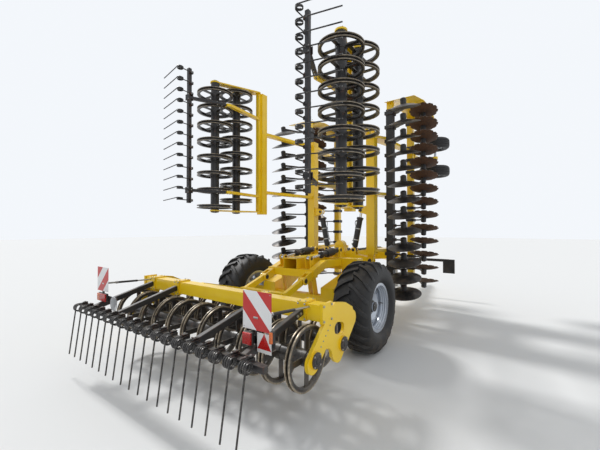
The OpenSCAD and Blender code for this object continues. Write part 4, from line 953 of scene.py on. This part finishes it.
add_plate(mesh, triangle(76), 4.4, front @ Matrix.Translation((0, 0, 0.2)), tint=1, edge=1.2)
add_plate(mesh, triangle(60), 1.2, front @ Matrix.Translation((0, 0, 4.4)), tint=1, edge=0.8)
for dx, dz in ((-58, 60), (58, 60)):
    add_bolt(mesh, front @ Matrix.Translation((dx, dz, 3)), 3.6, tint=3)
disc = Matrix.Translation((ROUND_AT[0], BOARD_Y, ROUND_AT[1])) @ Matrix.Rotation(math.pi / 2, 4, "X")
add_lathe(mesh, DISC_RINGS, 64, disc, tint=2)
finish_piece(mesh, "rear_reflectors", "carrier", drawing(), [plate_white, red_lens, clear_lens, zinc],
             replaces=["reflectors"])

# %% [markdown]
# The rings of a roller polish themselves on the ground: the rim is rubbed bright and dusty,
# while the spokes and the tube keep their dark paint. The distance from the roller's own axis
# tells the two apart, so each roller gets a material that knows where its axis lies.

# %% Roller finish that knows its axis
RING_R = 0.270


def roller_finish(name, first, second, first_at, second_at, rubbing_and_shade):
    """Dark paint on tube and spokes, bright rubbed steel near the rims, dimmed as painted shade by a low last
    value.
    """
    material, tree, shader = new_material(name)
    where = tree.nodes.new("ShaderNodeSeparateXYZ")
    tree.links.new(own_place(tree), where.inputs[0])
    a = math_node(tree, "SUBTRACT", where.outputs[first], first_at)
    b = math_node(tree, "SUBTRACT", where.outputs[second], second_at)
    far = math_node(tree, "SQRT", math_node(tree, "ADD", math_node(tree, "MULTIPLY", a, a),
                                           math_node(tree, "MULTIPLY", b, b)))
    texture = place_group(tree, grain, Scale=150.0, Depth=0.3)
    paint = blend_colour(tree, math_node(tree, "ADD", texture["Tone"], 0.5),
                         colour(28, 27, 28), colour(42, 40, 40))
    spots = place_group(tree, rust, Amount=0.3, Scale=12.0)
    rusty = blend_colour(tree, spots["Mask"], paint,
                         blend_colour(tree, spots["Shade"], RUST_DARK, RUST_LIGHT))
    rim = math_node(tree, "MULTIPLY", ramp(tree, far, RING_R - 0.020, RING_R - 0.002),
                    ramp(tree, noise(tree, 16.0, 6.0, 0.7), 0.30, 0.56, 0.0, rubbing_and_shade))
    rubbed = blend_colour(tree, ramp(tree, noise(tree, 40.0, 4.0, 0.6), 0.35, 0.65),
                          colour(158, 142, 118), colour(206, 190, 164))
    steel = blend_colour(tree, rim, rusty, rubbed)
    edges = place_group(tree, edge_wear, Width=0.005, Amount=0.5, Scale=24.0)["Mask"]
    edged = blend_colour(tree, edges, steel, colour(128, 120, 110))
    soil = place_group(tree, dust, Amount=0.5, Height=1.0, Scale=7.0)["Mask"]
    tree.links.new(blend_colour(tree, soil, edged, DUST_COLOUR), shader.inputs["Base Color"])
    clean_rim = math_node(tree, "MULTIPLY", rim, math_node(tree, "SUBTRACT", 1.0, soil), clamp=True)
    tree.links.new(ramp(tree, clean_rim, 0.0, 1.0, 0.0, 0.35), shader.inputs["Metallic"])
    tree.links.new(ramp(tree, soil, 0.0, 1.0, 0.34, 0.85), shader.inputs["Roughness"])
    add_bump(tree, shader, math_node(tree, "ADD", texture["Height"], spots["Height"]), 0.35, 0.002)
    return material


# %% One finish for each roller
ROLLER_Z, CENTRE_ROLLER_Y, WING_ROLLER_Y = 550, (-1330, -1800), (-300, -745)
# The wings' lower value is partly painted shade: it dims the rims of the upright wing rollers, which stand in
# shade.
CENTRE_RUBBING, WING_RUBBING_AND_SHADE = 0.9, 0.5
# A wing's axes stand upright when it is folded, so they are found by their distance from the middle.
FOLDED_X = HINGE_X - (ROLLER_Z - HINGE_Z)
roller_steel = {}
for row, centre_y, wing_y in zip(("front", "rear"), CENTRE_ROLLER_Y, WING_ROLLER_Y):
    roller = "centre_roller_" + row
    roller_steel[roller] = roller_finish(roller + "_steel", "Y", "Z", (centre_y - MID_Y) * MM,
                                         ROLLER_Z * MM, CENTRE_RUBBING)
    for name, side in SIDES.items():
        roller = "wing_roller_" + row + "_" + name
        roller_steel[roller] = roller_finish(roller + "_steel", "Y", "X", (wing_y - MID_Y) * MM,
                                             side * FOLDED_X * MM, WING_RUBBING_AND_SHADE)
print("roller finishes:", len(roller_steel))

# %% [markdown]
# Bolts make a machine look as if it could be taken apart.
# Each one is a washer and a hexagon head, and hundreds of them cost few triangles
# when those of one body are joined in one mesh. Their places follow the drawing's own numbers.

# %% Hubs, clamps and bearings
DISC_Z, DISC_PITCH, REAR_ROW_Y, FRONT_ROW_Y = 425.0, 250, 1120.0, 2330.0
REAR_BEAM_Y, FRONT_BEAM_Y, DISC_BEAM_Z, TOOL_BEAM = 1550.0, 2760.0, 790.0, 120.0
# Each disc's place across and along, the beam that its arm hangs on, and how far it is turned.
REAR_DISCS = [(215.0 + i * DISC_PITCH, REAR_ROW_Y, REAR_BEAM_Y, 165) for i in range(13)]
FRONT_DISCS = [(90.0 + i * DISC_PITCH, FRONT_ROW_Y, FRONT_BEAM_Y, 15) for i in range(14)]
HUB_HALF, DISC_T, HUB_BOLTS = 45.0, 6.0, 5
FASTENERS = [zinc, black_paint, plastic_black, yellow_paint]


def add_bolt_ring(mesh, place, count, radius, height, size, turned=0.0):
    """Bolts spaced evenly round the z axis of a place; turned is a share of their spacing."""
    for k in range(count):
        a = 2 * math.pi * (k + turned) / count
        add_bolt(mesh, place @ Matrix.Translation((radius * math.cos(a), radius * math.sin(a), height)), size)


def add_hub(mesh, x, y, lean):
    """Five bolts and a cap on a disc's hollow side, and a dust cap behind its hub."""
    hub = (Matrix.Translation((x, y, DISC_Z)) @ Matrix.Rotation(math.radians(lean), 4, "Z")
           @ Matrix.Rotation(math.pi / 2, 4, "Y"))
    face = hub @ Matrix.Translation((0, 0, HUB_HALF + DISC_T))
    add_bolt_ring(mesh, face, HUB_BOLTS, 48, 0, 8.5)
    add_lathe(mesh, [(30, 0), (30, 5), (24, 9), (0, 9)], 24, face, tint=1)
    back = hub @ Matrix.Rotation(math.pi, 4, "X") @ Matrix.Translation((0, 0, HUB_HALF))
    add_lathe(mesh, [(36, 0), (36, 4), (27, 12), (12, 15), (0, 15)], 24, back, tint=1)


def add_clamp_bolts(mesh, x, beam_y):
    """Four bolts hold a disc arm's clamp together over its beam."""
    top = DISC_BEAM_Z + TOOL_BEAM / 2 + 18
    for dx in (-18, 18):
        for dy in (-68, 68):
            add_bolt(mesh, Matrix.Translation((x + dx, beam_y + dy, top)), 9)
    for dy in (-TOOL_BEAM / 2 - 9, TOOL_BEAM / 2 + 9):
        add_block(mesh, (x, beam_y + dy, top + 2), (58, 17, 4), edge=1, tint=1)


def add_flange_bearing(mesh, place, radius, bore, thickness):
    """A round bearing housing with its cap and a ring of four bolts."""
    add_lathe(mesh, [(bore, 0), (radius, 0), (radius, thickness * 0.45), (radius * 0.8, thickness * 0.6),
                     (radius * 0.72, thickness), (bore * 1.15, thickness), (bore, thickness * 0.8)],
              40, place, tint=1)
    add_lathe(mesh, [(bore, thickness * 0.7), (bore * 0.7, thickness + 3), (0, thickness + 3)],
              24, place, tint=2)
    add_bolt_ring(mesh, place, 4, radius * 0.88, thickness * 0.5, 9, turned=0.5)


print("discs on a wing:", len(REAR_DISCS) + len(FRONT_DISCS))

# %% Bolts, hub caps and bearings of the wings
# The outer faces of a wing's roller carrier, and the way that each looks.
WING_BEARINGS = ((1429.0, -1), (3451.0, 1))
# The flange of the support wheels' arm, and the middle of the outer end's plate.
SUPPORT_FLANGE_Y, END_PLATE_X, END_PLATE_TOP = 2840, 3440, 840
for name, side in SIDES.items():
    mesh = bmesh.new()
    for x, y, beam_y, lean in REAR_DISCS + FRONT_DISCS:
        add_hub(mesh, x, y, lean)
        add_clamp_bolts(mesh, x, beam_y)
    for x, out in WING_BEARINGS:
        for y in WING_ROLLER_Y:
            add_flange_bearing(mesh, facing((x, y, ROLLER_Z), (out, 0, 0)), 62, 32, 20)
    for dx in (-60, 60):
        for dz in (-60, 60):
            start = (SUPPORT_X + dx, SUPPORT_FLANGE_Y, DISC_BEAM_Z + dz)
            add_bolt(mesh, facing(start, (0, 1, 0)), 12)
    for x in WING_ARMS:
        for past in (26, 56):
            add_arm_bolts(mesh, x, on_arm(ARM_JOINT_Y + past), tint=0)
    for dx in (-95, 95):
        for y in (REAR_BEAM_Y, FRONT_BEAM_Y):
            add_bolt(mesh, Matrix.Translation((END_PLATE_X + dx * 0.25, y + 0.2 * dx, END_PLATE_TOP)), 10)
    finish_piece(mesh, "wing_fasteners_" + name, "wing_" + name, folded(side), FASTENERS)

# %% Bolts and hubs of the road wheels
HUB_RINGS = [(79, 57), (79, 92), (72, 104), (62, 112), (62, 131), (54, 135), (0, 135)]
RIM_STEP = [(284.5, 94), (264, 94), (262, 98), (262, 114), (270, 121), (270, 138), (277, 145),
            (277, 166), (284.5, 176)]
VALVE = [(262, 0, 92), (258, 0, 120), (256, 0, 140)]
for name, side in SIDES.items():
    mesh = bmesh.new()
    hub = facing((WHEEL_X, 0, AXLE_Z), (1, 0, 0))
    add_bolt_ring(mesh, hub, 8, 105, 56, 15, turned=0.5)
    add_lathe(mesh, HUB_RINGS, 48, hub, tint=1)
    add_bolt_ring(mesh, hub, 5, 42, 134, 6)
    add_lathe(mesh, RIM_STEP, 96, hub, tint=3, closed=True)
    add_bent_bar(mesh, [hub @ Vector(p) for p in VALVE], 5, tint=2)
    finish_piece(mesh, "wheel_fasteners_" + name, "wheel_" + name, drawing(side),
                 [zinc, black_paint, plastic_black, rim_paint])

# %% Bolts and hubs of the support wheels
for name, side in SIDES.items():
    mesh = bmesh.new()
    for shift in (-SUPPORT_GAP / 2, SUPPORT_GAP / 2):
        hub = facing((SUPPORT_X + shift, SUPPORT_Y, SUPPORT_Z), (1, 0, 0))
        add_lathe(mesh, [(40, 40), (38, 46), (20, 50), (0, 50)], 24, hub, tint=1)
        add_bolt_ring(mesh, hub, 5, 51, 40, 8)
    finish_piece(mesh, "support_fasteners_" + name, "support_wheels_" + name, folded(side), FASTENERS)

# %% Bolts and bearings of the rear carrier
BEAM_Y, BEAM_Z, BRACKET_FACE = -1600.0, 890.0, 1436.0
CARRIER_PIVOT, CARRIER_EYE = Vector((350, -430, 905)), 25
# The way of the slanting row of bolts on a bracket, up from the rear roller's bearing.
SLANT = Vector((0, math.cos(math.radians(43)), math.sin(math.radians(43))))
mesh = bmesh.new()
for side in (-1, 1):
    outer = side * BRACKET_FACE
    for dy in (-64, 64):
        for dz in (-64, 64):
            add_bolt(mesh, facing((outer, BEAM_Y + dy, BEAM_Z + dz), (side, 0, 0)), 12)
    for y in CENTRE_ROLLER_Y:
        add_flange_bearing(mesh, facing((outer + 14 * side, y, ROLLER_Z), (side, 0, 0)), 66, 31, 16)
    for k in range(5):
        spot = Vector((outer, CENTRE_ROLLER_Y[1], ROLLER_Z)) + SLANT * (120 + 52 * k)
        add_bolt(mesh, facing(spot, (side, 0, 0)), 7)
    for x in HARROW_ARMS:
        for dx in (-36, 36):
            for dz in (-66, 66):
                add_bolt(mesh, facing((side * x + dx, BEAM_Y - 85, BEAM_Z + dz), (0, -1, 0)), 9)
        for dy in (-60, 60):
            for dx in (-30, 30):
                add_bolt(mesh, Matrix.Translation((side * x + dx, BEAM_Y + dy, BEAM_Z + 85)), 9)
    eye = (side * (CARRIER_PIVOT.x + CARRIER_EYE), CARRIER_PIVOT.y, CARRIER_PIVOT.z)
    add_lathe(mesh, [(44, 0), (44, 4), (40, 5.4), (27, 5.4)], 32, facing(eye, (side, 0, 0)), tint=1)
finish_piece(mesh, "carrier_fasteners", "carrier", drawing(), FASTENERS)

# %% [markdown]
# Cylinders are told by their small parts: the gland nut that the rod slides through,
# the ports with their fittings, and a steel pipe strapped along the barrel.
# They are drawn once along the z axis and set on each cylinder's own line.

# %% Cylinder fittings
steel_pipe = bare_metal("steel_pipe", colour(96, 96, 98), colour(70, 70, 74), 0.1, 26.0, roughness=0.35,
                        metallic=0.7, shine=0.3, dirt=0.3)
CYLINDER_PARTS = [black_paint, zinc, steel_pipe, plastic_black]


def add_cylinder_fittings(mesh, place, radius, length, across):
    """Gland, bands, ports and pipe of a barrel that starts at its eye and runs along z."""
    add_lathe(mesh, [(radius + 8, length - 30), (radius + 10, length - 26), (radius + 10, length - 6),
                     (radius + 8, length - 2), (radius + 7, length - 2), (radius + 7, length - 30)],
              32, place, tint=0, closed=True)
    add_lathe(mesh, [(radius * 0.47, length), (radius * 0.62, length), (radius * 0.58, length + 5),
                     (radius * 0.47, length + 6)], 32, place, tint=3, closed=True)
    sideways = Matrix.Rotation(across * math.pi / 2, 4, "Y")
    for z in (95, length - 75):
        port = place @ Matrix.Translation((across * (radius - 2), 0, z)) @ sideways
        add_lathe(mesh, [(17, 0), (17, 14), (0, 14)], 16, port, tint=0)
        add_lathe(mesh, [(13, 14), (13, 26), (0, 26)], 6, port, tint=1)
    # The pipe's points: how far out from the barrel's face, how far round, and where along it.
    run = [(20, 0, length - 75), (30, 0, length - 78), (34, 4, length - 100), (30, 8, length - 130),
           (12, 12, length - 170), (10, 14, length * 0.5), (10, 14, 190), (16, 14, 160), (30, 12, 150)]
    add_bent_bar(mesh, [place @ Vector((across * (radius + out), y, z)) for out, y, z in run], 6, tint=2)
    for z in (length * 0.32, length * 0.66):
        band = [(radius + 0.3, z - 9), (radius + 3, z - 9), (radius + 3, z + 9), (radius + 0.3, z + 9)]
        add_lathe(mesh, band, 32, place, tint=1, closed=True)
        add_block(mesh, place @ Vector((across * (radius + 8), 14, z)), (18, 22, 18), edge=2, tint=3,
                  turn=place.to_3x3().to_4x4())


print("materials on a cylinder:", [m.name for m in CYLINDER_PARTS])

# %% Cylinders that fold the wings
FOLD_PIN, FOLD_EYE = Vector((280, 1300, 1235)), Vector((425, 1300, 1950))
FOLD_R, FOLD_LENGTH = 50, 600
way = FOLD_EYE - FOLD_PIN
upwards = Matrix.Translation(FOLD_PIN) @ Matrix.Rotation(math.atan2(way.x, way.z), 4, "Y")
for name, side in SIDES.items():
    mesh = bmesh.new()
    add_cylinder_fittings(mesh, upwards, FOLD_R, FOLD_LENGTH, across=-1)
    finish_piece(mesh, "fold_fittings_" + name, "fold_barrel_" + name, drawing(side), CYLINDER_PARTS)

# %% Cylinders that lift the machine on its wheels
LIFT_PIN, LIFT_EYE = Vector((240, 760, 1260)), Vector((240, -120, 1180))
LIFT_R, LIFT_LENGTH = 42, 560
# A woven sleeve is wrapped round each lift cylinder and its pipe: radius and place of its folds.
SLEEVE_FOLDS = [(43, 172), (58, 176), (64, 190), (60, 210), (66, 232), (61, 256), (67, 280),
                (62, 304), (67, 330), (61, 354), (65, 378), (59, 400), (43, 406)]
way = LIFT_EYE - LIFT_PIN
backwards = Matrix.Rotation(math.pi / 2 - math.atan2(way.z, -way.y), 4, "X")
mesh = bmesh.new()
for side in (-1, 1):
    line = Matrix.Translation((side * LIFT_PIN.x, LIFT_PIN.y, LIFT_PIN.z)) @ backwards
    add_cylinder_fittings(mesh, line, LIFT_R, LIFT_LENGTH, across=-side)
    add_lathe(mesh, SLEEVE_FOLDS, 40, line, tint=3, closed=True)
finish_piece(mesh, "lift_fittings", "lift_barrels", drawing(), CYLINDER_PARTS)

# %% [markdown]
# Hydraulic hoses run in a tidy bundle along the frame, held by blocks every half metre,
# and end in a rack of couplings near the tow eye. They are clipped all the way and nothing hangs free.

# %% Course of a hose
hose_rubber = rubber("hose_rubber", colour(22, 22, 24), 0.35)
SPINE_TOP = 1185.0
DRAWBAR_TOP = [Vector((0, 3150, SPINE_TOP)), Vector((0, 5370, 700))]
HOSE_R, HOSE_X = 9.0, (-66, -44, -22, 22, 44, 66)


def hose_run(x, spread):
    """A hose from the valve block at the back of the spine to the couplings on the drawbar."""
    points = [Vector((x, y, SPINE_TOP + up)) for y, up in ((1518, 30), (1545, 26), (1590, 13))]
    for k in range(14):
        points.append(Vector((x + 3 * math.sin(k * 1.3 + x), 1640 + k * 112, SPINE_TOP + 12)))
    for k in range(1, 13):
        spot = DRAWBAR_TOP[0].lerp(DRAWBAR_TOP[1], k / 14)
        points.append(spot + Vector((x + spread * k / 12, 0, 12)))
    last = points[-1]
    points += [last + Vector((spread * 0.1, 60, 2)), last + Vector((spread * 0.15, 110, 18))]
    return points


print("points in a hose:", len(hose_run(0, 0)))

# %% Hoses along the frame
HOSE_SPREAD, CLIP_Y, CLIP_SHARES = 0.35, (1760, 2200, 2640, 3060), (0.18, 0.42, 0.66)
mesh = bmesh.new()
add_block(mesh, (0, 1460, SPINE_TOP + 34), (190, 116, 68), edge=5, tint=2)
for x in HOSE_X:
    run = hose_run(x, x * HOSE_SPREAD)
    add_bent_bar(mesh, run, HOSE_R, steps=10, tint=0)
    add_round(mesh, (x, 1510, SPINE_TOP + 30), (x, 1536, SPINE_TOP + 29), 12, 6, tint=1)
    end = run[-1]
    tip = end + Vector((0, 62, 14))
    add_round(mesh, end, tip, 13, 20, edge=2, tint=1)
    add_round(mesh, end.lerp(tip, 0.35), end.lerp(tip, 0.75), 16, 20, edge=2, tint=3)
for y in CLIP_Y:
    add_block(mesh, (0, y, SPINE_TOP + 12), (172, 24, 23), edge=2, tint=3)
    for x in (-78, 0, 78):
        add_bolt(mesh, Matrix.Translation((x, y, SPINE_TOP + 23)), 7, tint=1)
way = DRAWBAR_TOP[1] - DRAWBAR_TOP[0]
tilt = Matrix.Rotation(math.atan2(way.z, way.y), 4, "X")
for t in CLIP_SHARES:
    spot = DRAWBAR_TOP[0].lerp(DRAWBAR_TOP[1], t) + Vector((0, 0, 12))
    add_block(mesh, spot, (190, 24, 24), edge=2, tint=3, turn=tilt)
rack = hose_run(0, 0)[-1] + Vector((0, 20, 2))
add_block(mesh, rack, (196, 6, 62), edge=2, tint=4, turn=tilt)
add_block(mesh, rack - Vector((0, -4, 34)), (196, 46, 6), edge=2, tint=4, turn=tilt)
finish_piece(mesh, "frame_hoses", "chassis", drawing(),
             [hose_rubber, zinc, steel_pipe, plastic_black, yellow_paint])

# %% [markdown]
# Pins carry a machine's joints, and what shows of them is a collar with a bolt beside it
# that stops the pin from turning. Weld beads fill the corners where tubes meet.

# %% Pin heads and weld beads
ALONG, ACROSS = (0, 1, 0), (1, 0, 0)
WELD_STEP, WELD_WANDER = 14, 0.8


def add_pin_head(mesh, place, radius):
    """The collar of a pin, its keeper plate and the keeper's bolt."""
    add_lathe(mesh, [(radius, 0), (radius, 3), (radius - 3, 6), (0, 6)], 32, place, tint=1)
    add_block(mesh, place @ Vector((0, radius * 0.9, 3)), (radius * 0.9, radius * 1.1, 5), edge=1, tint=3,
              turn=place.to_3x3().to_4x4())
    add_bolt(mesh, place @ Matrix.Translation((0, radius * 1.2, 5)), 8)


def add_pin_ends(mesh, middle, half, axis, radius):
    """Both heads of a pin that lies along an axis: its middle and half its length are given."""
    for way in (-1, 1):
        out = Vector(axis) * way
        add_pin_head(mesh, facing(Vector(middle) + out * half, out), radius)


def add_weld(mesh, start, end, radius=4.5):
    """A bead that wanders a little from point to point, as a welder's hand does."""
    start, end = Vector(start), Vector(end)
    count = max(4, int((end - start).length / WELD_STEP))
    points = [start.lerp(end, k / count) for k in range(count + 1)]
    hand = random.Random(round(start.length))
    bead = [p + Vector([hand.uniform(-WELD_WANDER, WELD_WANDER) for _ in range(3)]) for p in points]
    add_bent_bar(mesh, bead, radius, steps=6, tint=3)


print("a weld has a point every", WELD_STEP, "mm")

# %% Pins and weld beads of the frame
HINGE_EARS, HINGE_HALF, SPINE_HALF = (1300.0, 2680.0), 61, 125
AXLE_PIVOT = Vector((671, 650, 880))
mesh = bmesh.new()
for side in (-1, 1):
    for y in HINGE_EARS:
        add_pin_ends(mesh, (side * HINGE_X, y, HINGE_Z), HINGE_HALF, ALONG, 34)
    add_pin_ends(mesh, (side * FOLD_PIN.x, FOLD_PIN.y, FOLD_PIN.z), 55, ALONG, 27)
    add_pin_ends(mesh, (side * LIFT_PIN.x, LIFT_PIN.y, LIFT_PIN.z), 55, ACROSS, 27)
    add_pin_ends(mesh, (side * CARRIER_PIVOT.x, CARRIER_PIVOT.y, CARRIER_PIVOT.z), 51, ACROSS, 33)
    add_pin_head(mesh, facing((side * AXLE_PIVOT.x, AXLE_PIVOT.y, AXLE_PIVOT.z), (side, 0, 0)), 42)
for x in (-SPINE_HALF, SPINE_HALF):
    add_weld(mesh, (x * 0.98, 1240, SPINE_TOP + 1), (x * 0.98, 1360, SPINE_TOP + 1))
for y in (1240, 1360):
    add_weld(mesh, (-122, y, SPINE_TOP + 1), (122, y, SPINE_TOP + 1))
for side in (-1, 1):
    for z in (965, 1140):
        for y in (585, 800):
            add_weld(mesh, (side * SPINE_HALF, y, z), (side * 668, y, z), radius=2.5)
    add_weld(mesh, (side * 299, 584, 1140), (side * 401, 584, 1140))
    for y in HINGE_EARS:
        for shift in (-HINGE_HALF, HINGE_HALF):
            add_weld(mesh, (side * 126, y + shift, 962), (side * 126, y + shift, 1180))
finish_piece(mesh, "frame_pins", "chassis", drawing(), FASTENERS)

# %% Pins and weld beads of the wings
# Where the fold cylinder is pinned to a level wing, and the middles of the ties welded to its beam.
WING_PIN, WING_TIES = (1490, 1300, 1235), (1777.5, 2777.5)
for name, side in SIDES.items():
    mesh = bmesh.new()
    add_pin_ends(mesh, WING_PIN, 50, ALONG, 27)
    for x in WING_TIES:
        for dx in (-25, 25):
            for y in (1224, 1376):
                add_weld(mesh, (x + dx, y, 985), (x + dx, y, 1098))
    finish_piece(mesh, "wing_pins_" + name, "wing_" + name, folded(side), FASTENERS)

# %% Pins, weld beads and bolts of the axle
mesh = bmesh.new()
for side in (-1, 1):
    add_pin_ends(mesh, (side * LIFT_EYE.x, LIFT_EYE.y, LIFT_EYE.z), 46, ACROSS, 24)
    for shift in (-46, 46):
        x = side * LIFT_EYE.x + shift
        add_weld(mesh, (x, -54, 646), (x, 54, 646))
    for dy in (-80, 80):
        for dz in (-40, 40, 120):
            add_bolt(mesh, facing((side * 668, dy, AXLE_Z + dz), (side, 0, 0)), 13)
finish_piece(mesh, "axle_pins", "axle", drawing(), FASTENERS)

# %% [markdown]
# The marker plates at the front look forwards, so from behind only their dark backs show.
# Their faces carry the same slanting film as the rear boards, and a small clear lamp
# sits beside each on the bar. The plate's own lowest corner says where the film starts.

# %% Faces and lamps of the front markers
MARKER_X, MARKER_FACE_Y, MARKER_BAR_Y, MARKER_W = 1372.0, 3976.0, 4030.0, 250.0
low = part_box("front_markers")[0][2] / MM
bar_z = low + 290
mesh = bmesh.new()
for side in (-1, 1):
    x = side * MARKER_X
    add_block(mesh, (x, MARKER_FACE_Y + 0.5, low + 129), (MARKER_W - 10, 3, 248), edge=0.8)
    for dx in (-105, 105):
        for dz in (18, 240):
            add_bolt(mesh, facing((x + dx, MARKER_FACE_Y + 2, low + dz), (0, 1, 0)), 4.5, tint=1)
    lamp_x = side * (MARKER_X - MARKER_W / 2 - 90)
    add_block(mesh, (lamp_x, MARKER_BAR_Y + 9, bar_z), (78, 20, 50), edge=3, tint=2)
    add_block(mesh, (lamp_x, MARKER_BAR_Y + 22, bar_z), (68, 8, 42), edge=3, tint=3)
finish_piece(mesh, "front_marker_faces", "chassis", drawing(), [board_film, zinc, plastic_black, clear_lens])
print("front markers start at", round(low), "mm")

# %% [markdown]
# Most of what shows is still the finished solids, which came in plain. A solid's shape stays
# as it is, and only its material slot is filled. A list of name beginnings is enough:
# what is named in it gets that finish, each roller its own, and all the rest is yellow.

# %% Finish of every solid that stays
FINISHES = [
    (rim_paint, ("rim_", "support_rims")),
    (hard_chrome, ("lift_rods", "fold_rod")),
    (zinc, ("tow_eye", "jack_leg")),
    (disc_steel, ("rear_discs",)),
    (notched_steel, ("front_discs",)),
    (black_paint, ("rear_disc_arms", "front_disc_arms", "jack_sleeve", "front_markers", "lift_barrels",
                   "fold_barrel")),
]


def finish_for(name):
    """The finish of a solid by the beginning of its name."""
    for material, beginnings in FINISHES:
        if name.startswith(beginnings):
            return material
    return yellow_paint


for name, solid in nodes.items():
    solid.data.materials.clear()
    solid.data.materials.append(roller_steel.get(name) or finish_for(name))
print("finished solids:", len(nodes))
